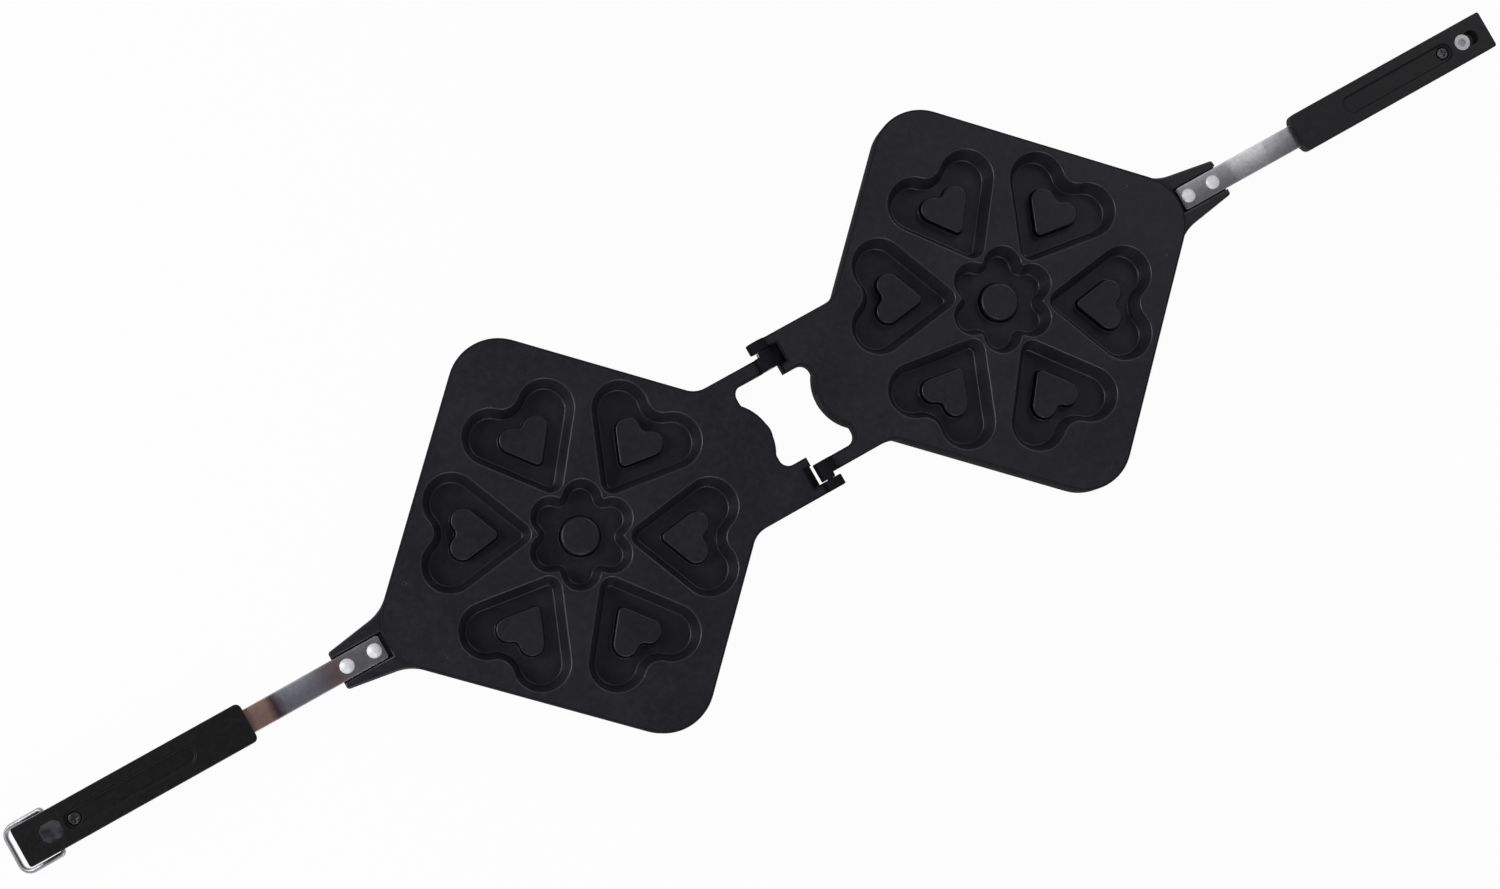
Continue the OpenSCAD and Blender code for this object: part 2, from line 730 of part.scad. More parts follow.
// The left grip has a seat for the magnet and a cross bore for the bail's ends
module left_grip() {
    color([0.10, 0.10, 0.10]) left_side() on_grip() difference() {
        grip_body();
        translate([pivot_x, 0, -magnet_t - flush_gap])
            linear_extrude(magnet_t + flush_gap + over) magnet_2d(magnet_play);
        across(-grip_w / 2 - over, grip_w / 2 + over)
            translate([pivot_x, -pivot_drop]) circle(wire_r + bail_play);
    }
}

module right_grip_screw() {
    color([0.45, 0.45, 0.46]) grip_screw();
}

module left_grip_screw() {
    color([0.45, 0.45, 0.46]) left_side() grip_screw();
}

// The magnet lies just below the left grip's inner face
module latch_magnet() {
    color([0.48, 0.48, 0.50]) left_side() on_grip()
        translate([pivot_x, 0, -magnet_t - flush_gap])
            linear_extrude(magnet_t) magnet_2d(0);
}

// The striker disc, with a shallow dimple where it was riveted
module striker_disc() {
    dimple_r = striker_r / 3;
    dimple_t = 0.3;
    color([0.86, 0.86, 0.88]) on_grip()
        translate([pivot_x, 0, -magnet_t - flush_gap]) difference() {
            cylinder(h = magnet_t, r = striker_r);
            translate([0, 0, magnet_t - dimple_t]) cylinder(h = dimple_t + over, r = dimple_r);
        }
}

// A quarter bend of the bail's wire, from the -Y direction round to +X
module wire_bend(r) {
    rotate_extrude(angle = 90) translate([r, 0]) circle(wire_r);
}

// The bail lies flat in its own XY plane with its pivot on the Y axis
module bail_wire() {
    bar_l = 2 * (leg_y - bail_bend_r);
    end_y = grip_w / 2 - bail_end_l;
    translate([bail_r, bar_l / 2, 0]) rotate([90, 0, 0]) cylinder(h = bar_l, r = wire_r);
    for (s = [0, 1]) mirror([0, s, 0]) {
        translate([bail_hook_r, leg_y, 0]) rotate([0, 90, 0])
            cylinder(h = bail_r - bail_hook_r - bail_bend_r, r = wire_r);
        translate([bail_r - bail_bend_r, leg_y - bail_bend_r, 0]) wire_bend(bail_bend_r);
        translate([bail_hook_r, leg_y - bail_hook_r, 0]) rotate(90) wire_bend(bail_hook_r);
        translate([0, end_y, 0]) rotate([-90, 0, 0])
            cylinder(h = leg_y - bail_hook_r - end_y, r = wire_r);
    }
}

// At rest the bail's crossbar lies on the table, beyond the left grip's end
module latch_bail() {
    color([0.80, 0.80, 0.82]) left_side()
        translate([grip_x0 + pivot_x * cos(grip_tilt) + pivot_drop * sin(grip_tilt), 0, pivot_z])
            rotate([0, bail_angle, 0]) bail_wire();
}

left_plate();
right_plate();
left_hinge_pin();
right_hinge_pin();
left_strap();
right_strap();
left_rivets();
right_rivets();
left_grip();
right_grip();
left_grip_screw();
right_grip_screw();
latch_magnet();
striker_disc();
latch_bail();
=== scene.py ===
# %% [markdown]
# A double pan for the stovetop, lying open
#
# The pan has two cast halves on a hinge, two flat steel straps, two moulded half-grips and
# a wire bail. The solids are packed already, and they are the frame of this scene: every
# piece below is made in the same place as its solid, with finer edges and a real finish.
# This cell loads that frame.

# %% The frame
import math

import bmesh
import bpy
from mathutils import Matrix, Vector
from mathutils.geometry import delaunay_2d_cdt


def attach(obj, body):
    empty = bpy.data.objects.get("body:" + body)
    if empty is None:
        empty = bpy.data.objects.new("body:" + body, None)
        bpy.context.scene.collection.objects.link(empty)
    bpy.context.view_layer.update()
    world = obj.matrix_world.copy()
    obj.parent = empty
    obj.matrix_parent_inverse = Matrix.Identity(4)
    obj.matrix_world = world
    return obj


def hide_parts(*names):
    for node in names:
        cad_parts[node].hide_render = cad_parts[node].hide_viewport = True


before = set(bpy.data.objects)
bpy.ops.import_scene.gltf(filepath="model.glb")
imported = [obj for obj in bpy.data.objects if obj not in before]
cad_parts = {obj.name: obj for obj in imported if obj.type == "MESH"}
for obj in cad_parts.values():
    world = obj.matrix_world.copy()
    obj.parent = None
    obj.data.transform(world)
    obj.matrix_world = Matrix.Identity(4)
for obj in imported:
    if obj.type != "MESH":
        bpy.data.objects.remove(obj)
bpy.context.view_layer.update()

# %% [markdown]
# The camera
#
# The photograph is taken from high above, with the pan lying slantwise across it. The
# camera's place was worked out from points that are easy to name on the real pan: the
# corners of the plates, the ends of the grips and the rivets. Three rows say which way is
# right, down and forward in the picture. A camera looks along its own -Z with +Y up, so
# its matrix takes right, up and back as columns.

# %% Camera
PHOTO_WIDTH = 1500
FOCAL_PIXELS = 2563.2
RIGHT = Vector((0.859855, -0.492393, 0.134902))
DOWN = Vector((-0.481020, -0.869892, -0.109121))
FORWARD = Vector((0.171081, 0.028938, -0.984832))

lens = bpy.data.cameras.new("camera")
lens.sensor_width = 36
lens.lens = lens.sensor_width * FOCAL_PIXELS / PHOTO_WIDTH
lens.clip_start = 0.01
camera = bpy.data.objects.new("camera", lens)
bpy.context.collection.objects.link(camera)
placed = Matrix((RIGHT, -DOWN, -FORWARD)).transposed().to_4x4()
placed.translation = Vector((-0.23470, -0.03692, 1.21420))
camera.matrix_world = placed
bpy.context.scene.camera = camera
bpy.context.scene.view_settings.view_transform = "Standard"
print("lens:", round(lens.lens, 2), "mm")

# %% [markdown]
# Shader maths as plain sums
#
# A finish is easier to read as a sum than as a drawing of boxes and cables. A Wire is the
# output of one node, and adding, subtracting or multiplying it adds the Math node that
# does it. A Finish holds one material, and its add method makes any other node from its
# type, its settings and the values or wires of its sockets. Nothing here is about this
# pan yet: it is the pencil that the finishes below are drawn with.

# %% Wires and finishes
class Wire:
    """One output of a shader node, which can be used in sums."""

    def __init__(self, finish, socket):
        self.finish = finish
        self.socket = socket

    def reckon(self, operation, *values):
        settings = {"operation": operation}
        return self.finish.add("ShaderNodeMath", settings, dict(enumerate(values)))

    def __add__(self, other):
        return self.reckon("ADD", self, other)

    def __radd__(self, other):
        return self.reckon("ADD", other, self)

    def __sub__(self, other):
        return self.reckon("SUBTRACT", self, other)

    def __rsub__(self, other):
        return self.reckon("SUBTRACT", other, self)

    def __mul__(self, other):
        return self.reckon("MULTIPLY", self, other)

    def __rmul__(self, other):
        return self.reckon("MULTIPLY", other, self)

    def __abs__(self):
        return self.reckon("ABSOLUTE", self)

    def step(self, low, high):
        """0 below low, 1 above high, and a smooth rise between; high may lie below low."""
        rise = {"interpolation_type": "SMOOTHSTEP"}
        if high < low:
            return 1 - self.step(high, low)
        return self.finish.add("ShaderNodeMapRange", rise,
                               {"Value": self, "From Min": low, "From Max": high})


class Finish:
    """A material on its Principled shader."""

    def __init__(self, name, **steady):
        self.material = bpy.data.materials.new(name)
        self.material.use_nodes = True
        self.tree = self.material.node_tree
        self.shader = self.tree.nodes["Principled BSDF"]
        self.give({key.replace("_", " "): value for key, value in steady.items()})

    def give(self, values, node=None):
        """Sets the sockets of a node, which is the shader itself unless another is named."""
        node = node or self.shader
        for key, value in values.items():
            if isinstance(value, Wire):
                self.tree.links.new(value.socket, node.inputs[key])
            else:
                node.inputs[key].default_value = value
        return self

    def add(self, kind, settings, values, output=0):
        """One node, its settings first and then its sockets, as a Wire from one output."""
        node = self.tree.nodes.new(kind)
        for key, value in settings.items():
            if key == "stops":
                ramp(node, value)
            else:
                setattr(node, key, value)
        self.give(values, node)
        return Wire(self, node.outputs[output])

    def place(self):
        """Where a spot lies on the pan at rest, in metres."""
        return self.add("ShaderNodeTexCoord", {}, {}, "Object")

    def along(self, axis, vector):
        """One part of a vector: X, Y or Z."""
        return self.add("ShaderNodeSeparateXYZ", {}, {"Vector": vector}, axis)

    def facing(self, axis):
        """How much the surface faces along X, Y or Z of the pan."""
        normal = self.add("ShaderNodeTexCoord", {}, {}, "Normal")
        return self.along(axis, normal)

    def noise(self, grain, stretch=(1, 1, 1), detail=3.0, rough=0.55):
        """Cloudy noise from 0 to 1 whose blotches are about so many millimetres across."""
        spot = self.add("ShaderNodeVectorMath", {"operation": "MULTIPLY"},
                        {0: self.place(), 1: stretch})
        return self.add("ShaderNodeTexNoise", {}, {"Vector": spot, "Scale": 1000 / grain,
                                                   "Detail": detail, "Roughness": rough})

    def mix(self, first, second, mask):
        """One colour where the mask is 0 and the other where it is 1."""
        colours = {6: coloured(first), 7: coloured(second)}
        return self.add("ShaderNodeMix", {"data_type": "RGBA"}, {0: mask, **colours}, 2)

    def bump(self, height, distance, strength=1.0):
        """A normal from a height between 0 and 1; the distance is in millimetres."""
        return self.add("ShaderNodeBump", {}, {"Height": height, "Distance": distance / 1000,
                                               "Strength": strength})


def coloured(value):
    """A wire as it is, and three numbers as a colour."""
    return value if isinstance(value, Wire) else (*value, 1.0)


def ramp(node, stops):
    """Gives a colour ramp its stops, each a place from 0 to 1 and a colour."""
    elements = node.color_ramp.elements
    while len(elements) < len(stops):
        elements.new(1.0)
    for element, (position, colour) in zip(elements, stops):
        element.position = position
        element.color = coloured(colour)


# %% [markdown]
# The light
#
# The photograph has a pure white ground with hardly a shadow, and soft light: the walls of
# the cavities shine where they face left and right, and not towards the viewer. One lamp
# overhead would be simpler, but it would turn all the flat faces grey. So three large area
# lamps stand low round the pan, the strongest on the left. The world is a pale studio,
# white along the horizon and darker overhead: the coating stays dark from above, and the
# steel has something to mirror. High up it has one paler band, like a soft box, which the
# straps catch.

# %% Lamps
LAMP_SIDE = 0.75


def lamp(name, spot, power):
    """A square soft lamp that faces the middle of the pan."""
    light = bpy.data.lights.new(name, "AREA")
    light.energy = power
    light.size = LAMP_SIDE
    made = bpy.data.objects.new(name, light)
    bpy.context.collection.objects.link(made)
    made.location = spot
    made.rotation_euler = Vector(spot).to_track_quat("Z", "Y").to_euler()
    return made


lamps = [lamp("main_lamp", (-1.15, 0.75, 0.95), 12.5),
         lamp("front_lamp", (-0.55, -1.15, 0.95), 5.5),
         lamp("right_lamp", (1.15, 0.50, 1.15), 3.6)]
print("lamps:", LAMP_SIDE, "m square,", [made.data.energy for made in lamps], "W")

# %% World
HORIZON = (1.0, 1.0, 1.0)
OVERHEAD = (0.16, 0.16, 0.17)
ZENITH = (0.07, 0.07, 0.08)
SOFT_BAND = (0.55, 0.55, 0.56)

world = bpy.data.worlds.new("studio")
bpy.context.scene.world = world
world.use_nodes = True
sky = world.node_tree
sky_way = sky.nodes.new("ShaderNodeTexCoord")
sky_parts = sky.nodes.new("ShaderNodeSeparateXYZ")
sky_ramp = sky.nodes.new("ShaderNodeValToRGB")
ramp(sky_ramp, [(0.15, HORIZON), (0.45, OVERHEAD), (0.78, OVERHEAD), (0.81, SOFT_BAND),
                (0.85, SOFT_BAND), (0.88, OVERHEAD), (0.99, ZENITH)])
sky.links.new(sky_way.outputs["Generated"], sky_parts.inputs["Vector"])
sky.links.new(sky_parts.outputs["Z"], sky_ramp.inputs["Fac"])
sky.links.new(sky_ramp.outputs["Color"], sky.nodes["Background"].inputs["Color"])
print("world:", len(sky_ramp.color_ramp.elements), "stops from the ground up to the zenith")

# %% [markdown]
# The floor
#
# The floor is a plain pale sheet, which isn't part of the pan. What the camera and any
# mirror see of it is mixed with white light, so it comes out as white as in the
# photograph and keeps a faint shadow. More lamps could whiten it too, but they would also
# wash out the pan. The light that the floor throws on the pan is its own.

# %% Floor
FLOOR_REACH = 6.0
FLOOR_WHITE = (0.85, 0.85, 0.85, 1.0)
FLOOR_GLOW = 0.96

sheet = bpy.data.meshes.new("floor")
corners = [(-FLOOR_REACH, -FLOOR_REACH, 0), (FLOOR_REACH, -FLOOR_REACH, 0),
           (FLOOR_REACH, FLOOR_REACH, 0), (-FLOOR_REACH, FLOOR_REACH, 0)]
sheet.from_pydata(corners, [], [(0, 1, 2, 3)])
floor = bpy.data.objects.new("floor", sheet)
bpy.context.collection.objects.link(floor)

paper = Finish("paper", Roughness=0.9)
paper.give({"Base Color": FLOOR_WHITE})
ray = [paper.add("ShaderNodeLightPath", {}, {}, f"Is {kind} Ray")
       for kind in ("Camera", "Glossy", "Transmission")]
seen = ray[0].reckon("MAXIMUM", ray[0], ray[1].reckon("MAXIMUM", ray[1], ray[2]))
glow = paper.add("ShaderNodeEmission", {}, {"Color": (1, 1, 1, 1), "Strength": 1.0})
lit = paper.add("ShaderNodeMixShader", {}, {0: seen * FLOOR_GLOW, 2: glow})
paper.tree.links.new(paper.shader.outputs[0], lit.socket.node.inputs[1])
paper.tree.links.new(lit.socket, paper.tree.nodes["Material Output"].inputs["Surface"])
sheet.materials.append(paper.material)
print("floor:", 2 * FLOOR_REACH, "m square")

# %% [markdown]
# Outlines
#
# Everything on the pan starts as a flat outline: a list of points that runs round
# counter-clockwise. An arc gives round corners. Laying shapes over each other and keeping
# some of the spots that they cover is what a Boolean does, and in the flat it is quick and
# exact: a constrained triangulation names the shapes over each triangle, and the edges
# that lie on one kept triangle only are the new outline.

# %% Outline helpers
def arc(centre, radius, start, end, steps, first=0):
    """Points along an arc between two angles in degrees."""
    points = []
    for i in range(first, steps + 1):
        angle = math.radians(start + (end - start) * i / steps)
        points.append(Vector((centre[0] + radius * math.cos(angle),
                              centre[1] + radius * math.sin(angle))))
    return points


def block(x0, x1, y0, y1):
    """A rectangle."""
    return [Vector(p) for p in ((x0, y0), (x1, y0), (x1, y1), (x0, y1))]


def circle(centre, radius, steps=48):
    """A full circle."""
    return arc(centre, radius, 0, 360, steps)[:-1]


def turned(points, degrees, centre=(0, 0)):
    """The points turned about the origin and then moved to a centre."""
    spin = Matrix.Rotation(math.radians(degrees), 2)
    return [spin @ p + Vector(centre) for p in points]


def mirrored(points):
    """The points mirrored across the X axis, still running counter-clockwise."""
    return [Vector((p.x, -p.y)) for p in reversed(points)]


def rounded(x0, x1, width, left_r, right_r, steps=8):
    """A rectangle with round corners, as wide across Y as said."""
    points = []
    for x, side, radius, start in ((x1, -1, right_r, -90), (x1, 1, right_r, 0),
                                   (x0, 1, left_r, 90), (x0, -1, left_r, 180)):
        inward = -radius if x == x1 else radius
        middle = (x + inward, side * (width / 2 - radius))
        points += arc(middle, radius, start, start + 90, steps)
    return points


def outlines(shapes, *rules):
    """For each rule, the outlines of the spots where it holds for the shapes laid over them."""
    names = list(shapes)
    points, faces = [], []
    for name in names:
        faces.append(list(range(len(points), len(points) + len(shapes[name]))))
        points += shapes[name]
    found = delaunay_2d_cdt(points, [], faces, 1, 1e-5)
    spots = found[0]
    covers = [{names[i] for i in source} for source in found[5]]
    answers = []
    for rule in rules:
        rims = {}
        for corners, over in zip(found[2], covers):
            if rule(over):
                for i, corner in enumerate(corners):
                    rims[(corner, corners[(i + 1) % len(corners)])] = True
        following = {a: b for a, b in rims if (b, a) not in rims}
        loops = []
        while following:
            start, here = following.popitem()
            loop = [start]
            while here != start:
                loop.append(here)
                here = following.pop(here)
            loops.append([spots[i] for i in loop])
        answers.append(sorted(loops, key=len, reverse=True))
    return answers


def area(points):
    """Twice the area inside an outline: negative where it runs clockwise."""
    return sum(a.cross(b) for a, b in zip(points, points[1:] + points[:1]))


def wound(points):
    """The outline, running counter-clockwise."""
    return points if area(points) > 0 else points[::-1]


def inset(loop, distance):
    """The outline moved to its left side, which is the inner side, corner for corner."""
    moved = []
    for i, point in enumerate(loop):
        before = (point - loop[i - 1]).normalized()
        after = (loop[(i + 1) % len(loop)] - point).normalized()
        left = Vector((-before.y, before.x))
        mitre = left + Vector((-after.y, after.x))
        moved.append(point + mitre * distance / max(0.25, mitre.dot(left)))
    return moved


print("area inside a circle of radius 1:", round(area(circle((0, 0), 1)) / 2, 4))

# %% [markdown]
# From outlines to metal
#
# A Shape is a mesh under construction, in millimetres. A ring is an outline at a height,
# a skin joins rings, and a fill closes a flat face, also one with holes in it. A cast or
# moulded edge is never sharp, so walls get a small quarter-round where they meet a face.
# Modifiers could round the edges too, but rings keep the faces even and few.

# %% Shapes
MM = 0.001
ROUND_STEPS = 4
FLAT_MARGIN = 1.12
WELD = 0.002
SIDES = ("right", "left")


class Shape:
    """A mesh under construction, in millimetres."""

    def __init__(self):
        self.mesh = bmesh.new()

    def ring(self, points, z):
        """Vertices round an outline at one height."""
        return [self.mesh.verts.new((p.x, p.y, z)) for p in points]

    def skin(self, rings):
        """Smooth faces between rings that have the same number of points."""
        for low, high in zip(rings, rings[1:]):
            for i in range(len(low)):
                j = (i + 1) % len(low)
                self.mesh.faces.new((low[i], low[j], high[j], high[i])).smooth = True
        return rings[-1]

    def fill(self, *rings):
        """Flat faces where an odd number of the rings lies round the spot, seen from above."""
        corners = [v for ring in rings for v in ring]
        loops, start = [], 0
        for ring in rings:
            loop = list(range(start, start + len(ring)))
            loops.append(loop if area([v.co.xy for v in ring]) > 0 else loop[::-1])
            start += len(ring)
        found = delaunay_2d_cdt([v.co.xy for v in corners], [], loops, 1, 1e-6)
        for face, over in zip(found[2], found[5]):
            if len(over) % 2:
                self.mesh.faces.new([corners[found[3][i][0]] for i in face])

    def edge(self, loop, z, radius, up):
        """Rings of a quarter-round from a wall to a face at z; up says that it is the top."""
        rings = []
        sign = 1 if up else -1
        for i in range(ROUND_STEPS + 1):
            angle = math.radians(90 * i / ROUND_STEPS)
            rings.append(self.ring(inset(loop, radius * (1 - math.cos(angle))),
                                   z - sign * radius * (1 - math.sin(angle))))
        rings.append(self.ring(inset(loop, radius * FLAT_MARGIN), z))
        return rings

    def prism(self, loops, z0, z1, radius):
        """A solid between two heights with round edges; loops after the first are holes."""
        bottoms, tops = [], []
        for loop in loops:
            low = self.edge(loop, z0, radius, up=False)
            high = self.edge(loop, z1, radius, up=True)
            self.skin(low[::-1] + high)
            bottoms.append(low[-1])
            tops.append(high[-1])
        self.fill(*bottoms)
        self.fill(*tops)
        return self

    def lathe(self, profile, centre, steps=48):
        """A solid turned about an upright axis, from points of radius and height."""
        rings = []
        for radius, z in profile:
            if radius < 1e-6:
                tip = self.mesh.verts.new((centre[0], centre[1], z))
                rings.append([tip] * steps)
            else:
                rings.append(self.ring(circle(centre, radius, steps), z))
        for low, high in zip(rings, rings[1:]):
            for i in range(steps):
                j = (i + 1) % steps
                corners = list(dict.fromkeys((low[i], low[j], high[j], high[i])))
                if len(corners) > 2:
                    self.mesh.faces.new(corners).smooth = True
        return self

    def take(self, other):
        """Adds another shape to this one."""
        part = bpy.data.meshes.new("part")
        other.mesh.to_mesh(part)
        self.mesh.from_mesh(part)
        bpy.data.meshes.remove(part)
        other.mesh.free()
        return self

    def dull(self):
        """Gives all faces so far the second finish."""
        for face in self.mesh.faces:
            face.material_index = 1
        return self

    def tidy(self):
        """Joins points that coincide and turns all faces outwards."""
        bmesh.ops.remove_doubles(self.mesh, verts=self.mesh.verts, dist=WELD)
        bmesh.ops.recalc_face_normals(self.mesh, faces=self.mesh.faces)
        return self


def make(shape, name, side, node, slot, *finishes):
    """The shape as a piece on the right or left side of the pan, in place of its node."""
    mesh = bpy.data.meshes.new(name)
    shape.tidy().mesh.to_mesh(mesh)
    turn = Matrix.Rotation(math.pi if side == "left" else 0, 4, "Z")
    mesh.transform(turn @ Matrix.Scale(MM, 4))
    for finish in finishes:
        mesh.materials.append(finish.material)
    piece = bpy.data.objects.new(name, mesh)
    bpy.context.collection.objects.link(piece)
    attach(piece, f"{side}_half")
    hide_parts(node)
    loose = sum(1 for e in shape.mesh.edges if len(e.link_faces) != 2)
    print(name, "faces:", len(mesh.polygons), "open edges:", loose)
    return piece


# %% [markdown]
# The coating
#
# Both halves are cast aluminium with a charcoal non-stick coating, which has a soft sheen
# and a very fine grain. It could be one dark grey, but then it would look like plastic. So
# the colour drifts a little in large clouds, the grain roughens the sheen, and the round
# edges are a touch paler: partly wear where a spatula rubs, partly a painted highlight.
# The edges are found by their slope: on the flat faces the surface points straight up or
# down, and on the edges it doesn't. The outer sides and the knuckles look blacker in this
# light. So they, and the underside, have a second finish from the same recipe: duller,
# with its colour painted darker as shade, and with more painted shade where the surface
# is steep.

# %% Coating
COATING = (0.0102, 0.0098, 0.0130)
COATING_PALE = (0.0162, 0.0156, 0.0200)
# The edge colour is partly wear and partly a painted highlight.
COATING_WEAR_AND_HIGHLIGHT = (0.0280, 0.0270, 0.0300)
# The side colour and the steep colour below are painted shade.
COATING_SIDE_SHADED = (0.0080, 0.0078, 0.0095)
COATING_PAINTED_SHADE = (0.0015, 0.0015, 0.0018)
UPPER_EDGES = (0.012, 0.0135)
CLEAR_OF_HINGE = (0.0055, 0.0065)


def coating_finish(name, dark, pale, gloss, roughness, shade=0.0):
    """Clouds, grain, edges paler as wear and painted highlight, painted shade on steep sides."""
    finish = Finish(name, Specular_IOR_Level=gloss)
    clouds = finish.noise(34, detail=4).step(0.35, 0.7)
    grain = finish.noise(0.9, detail=4, rough=0.65)
    mottle = finish.noise(3.0, detail=3, rough=0.6).step(0.35, 0.68)
    upward = finish.facing("Z")
    height = finish.along("Z", finish.place())
    from_hinge = abs(finish.along("X", finish.place()))
    sloping = upward.step(0.35, 0.6) * upward.step(0.995, 0.93)
    # Wear and painted highlight: the round upper edges turn paler.
    edges = sloping * height.step(*UPPER_EDGES) * from_hinge.step(*CLEAR_OF_HINGE)
    body = finish.mix(dark, pale, clouds * 0.45 + grain * 0.4 + mottle * 0.35)
    # Painted shade: steep faces darken, by the weight shade.
    body = finish.mix(body, COATING_PAINTED_SHADE, upward.step(0.75, 0.3) * shade)
    return finish.give({
        "Base Color": finish.mix(body, COATING_WEAR_AND_HIGHLIGHT, edges * 0.6),
        "Roughness": roughness + clouds * 0.05 + grain * 0.12 + mottle * 0.05 - edges * 0.04,
        "Normal": finish.bump(grain, 0.04, 0.55),
    })


coating = coating_finish("charcoal_coating", COATING, COATING_PALE, 0.42, 0.29)
# The side finish is the coating with its colours painted darker as shade.
shaded_side_coating = coating_finish("charcoal_side_coating", COATING_SIDE_SHADED, COATING, 0.06, 0.70, 0.85)
print("coating:", len(coating.tree.nodes), "nodes, the same for the sides")

# %% [markdown]
# Hearts and flower
#
# Each half bakes six heart-shaped cakes and one flower. A heart could be a curve through
# points by eye, but then each ring of its wall would need points of its own. Built from
# tangent arcs, a small one at the tip, a lobe and a shallow notch, it is drawn in by d when
# only the radii change. That gives every ring of a drafted wall with the same number of
# points, and the wall is a skin over such rings.

# %% Cavity outlines
PLATE_SIDE = 160.0
PLATE_H = 14.0
HINGE_TO_CORNER = 4.2
PLATE_X = PLATE_SIDE / math.sqrt(2) + HINGE_TO_CORNER
HEARTS = 6
HEART_TIP = 23.5
HEART_W = 56.7
LOBE_R = 13.7
TIP_R = 6.0
NOTCH_DIP = 5.7
LOBE_X = HEART_W / 2 - LOBE_R
LIP_TO_EDGE = 3.8

lean = math.radians(45 - 180 / HEARTS)
lobe_room = PLATE_SIDE / 2 - LIP_TO_EDGE - LOBE_R - LOBE_X * math.sin(lean)
LOBE_Y = lobe_room / math.cos(lean) - HEART_TIP
HEART_L = LOBE_Y + LOBE_R
notch_rise = LOBE_R - NOTCH_DIP
NOTCH_R = (LOBE_X ** 2 + notch_rise ** 2 - LOBE_R ** 2) / (2 * NOTCH_DIP)
NOTCH_Y = LOBE_Y + notch_rise + NOTCH_R
SIDE = math.degrees(math.atan2(LOBE_X, LOBE_Y - TIP_R)
                    + math.asin((LOBE_R - TIP_R) / math.hypot(LOBE_X, LOBE_Y - TIP_R)))
JOIN = 180 - math.degrees(math.atan2(NOTCH_Y - LOBE_Y, LOBE_X))


def heart(d, scale=1.0):
    """A heart with its tip at the origin and its lobes along +Y, drawn in by d all round."""
    tip = max(TIP_R - d, 0.3)
    tip_y = TIP_R + (tip - TIP_R + d) / math.sin(math.radians(SIDE))
    half = (arc((0, tip_y), tip, -90, -SIDE, 6)
            + arc((LOBE_X, LOBE_Y), LOBE_R - d, -SIDE, JOIN, 26)
            + arc((0, NOTCH_Y), NOTCH_R + d, JOIN - 180, -90, 7, first=1))
    back = [Vector((-p.x, p.y)) for p in half[-2:0:-1]]
    return [p * scale for p in half + back]


FLOWER_R = 26.4
PETAL_R = 9.6
PETAL_NOTCH_R = 1.2
PETAL_C = FLOWER_R - PETAL_R
petal_half = math.radians(180 / HEARTS)
PETAL_NOTCH_C = PETAL_C * math.cos(petal_half) + math.sqrt(
    (PETAL_R + PETAL_NOTCH_R) ** 2 - (PETAL_C * math.sin(petal_half)) ** 2)
SWEEP = math.degrees(math.atan2(PETAL_NOTCH_C * math.sin(petal_half),
                                PETAL_NOTCH_C * math.cos(petal_half) - PETAL_C))


def flower(d):
    """The flower about the origin, drawn in by d all round."""
    points = []
    for k in range(HEARTS):
        petal = 360 / HEARTS * k
        notch = petal + 180 / HEARTS
        turn = SWEEP - 180 / HEARTS
        points += arc(turned([Vector((PETAL_C, 0))], petal)[0], PETAL_R - d,
                      petal - SWEEP, petal + SWEEP, 16)
        points += arc(turned([Vector((PETAL_NOTCH_C, 0))], notch)[0], PETAL_NOTCH_R + d,
                      notch + 180 + turn, notch + 180 - turn, 4)[1:-1]
    return points


def at_heart(k, points, out=HEART_TIP):
    """Points drawn for a heart, placed in the k-th one of the right plate."""
    moved = [p + Vector((0, out)) for p in points]
    return turned(moved, 360 / HEARTS * (k + 0.5) - 90, (PLATE_X, 0))


print("heart:", round(HEART_L, 2), "mm long, side at", round(SIDE, 1), "degrees")

# %% [markdown]
# Walls with draft
#
# A cake has to fall out of its mould, so the walls lean back. At the top the lip is round,
# and at the foot a fillet runs into the floor. In the photograph these two show as thin
# bright lines, because a round edge always has one spot that mirrors the lamps. Bevels
# would do it too, but here each ring of the roundings is worked out from the wall's slope,
# so lip, wall and foot meet without a crease. The raised figure on the floor gets the same
# kind of wall, with a smaller rounding. The outlines are drawn in going down, so the figure
# grows wider towards its foot as the cavity grows narrower.

# %% Walls
CAVITY_DEPTH = 10.5
WALL_RUN = 3.4
FIGURE_H = 5.0
FIGURE_SCALE = 24.6 / HEART_W
FIGURE_RUN = 0.83
FIGURE_SHIFT = 1.0
FIGURE_Y = HEART_TIP + HEART_L * (1 - FIGURE_SCALE) / 2 + FIGURE_SHIFT
FLOWER_FIGURE_R = 9.2
LIP = 0.95
FOOT = 1.05
FIGURE_LIP = 0.85
ROUND_FIGURE_LIP = 1.5
FIGURE_FOOT = 0.6
LIP_MARGIN = 0.05
FOOT_MARGIN = 0.15


def draft(run, depth, lip, foot):
    """Distance inwards and height of the rings of a wall, from its lip down to its foot."""
    slope = math.atan2(depth, run)
    lip_back = lip * math.tan(slope / 2)
    foot_on = run + foot * math.tan(slope / 2)
    rings = [(-lip_back - LIP_MARGIN, 0.0)]
    for i in range(6):
        a = slope * i / 5
        rings.append((lip * math.sin(a) - lip_back, lip * math.cos(a) - lip))
    for i in range(7):
        a = slope * (1 - i / 6)
        rings.append((foot_on - foot * math.sin(a), foot - foot * math.cos(a) - depth))
    return rings + [(foot_on + FOOT_MARGIN, -depth)]


def figure(k, d):
    """The raised heart on the floor of the k-th heart, grown by d."""
    return at_heart(k, heart(-d / FIGURE_SCALE, FIGURE_SCALE), FIGURE_Y)


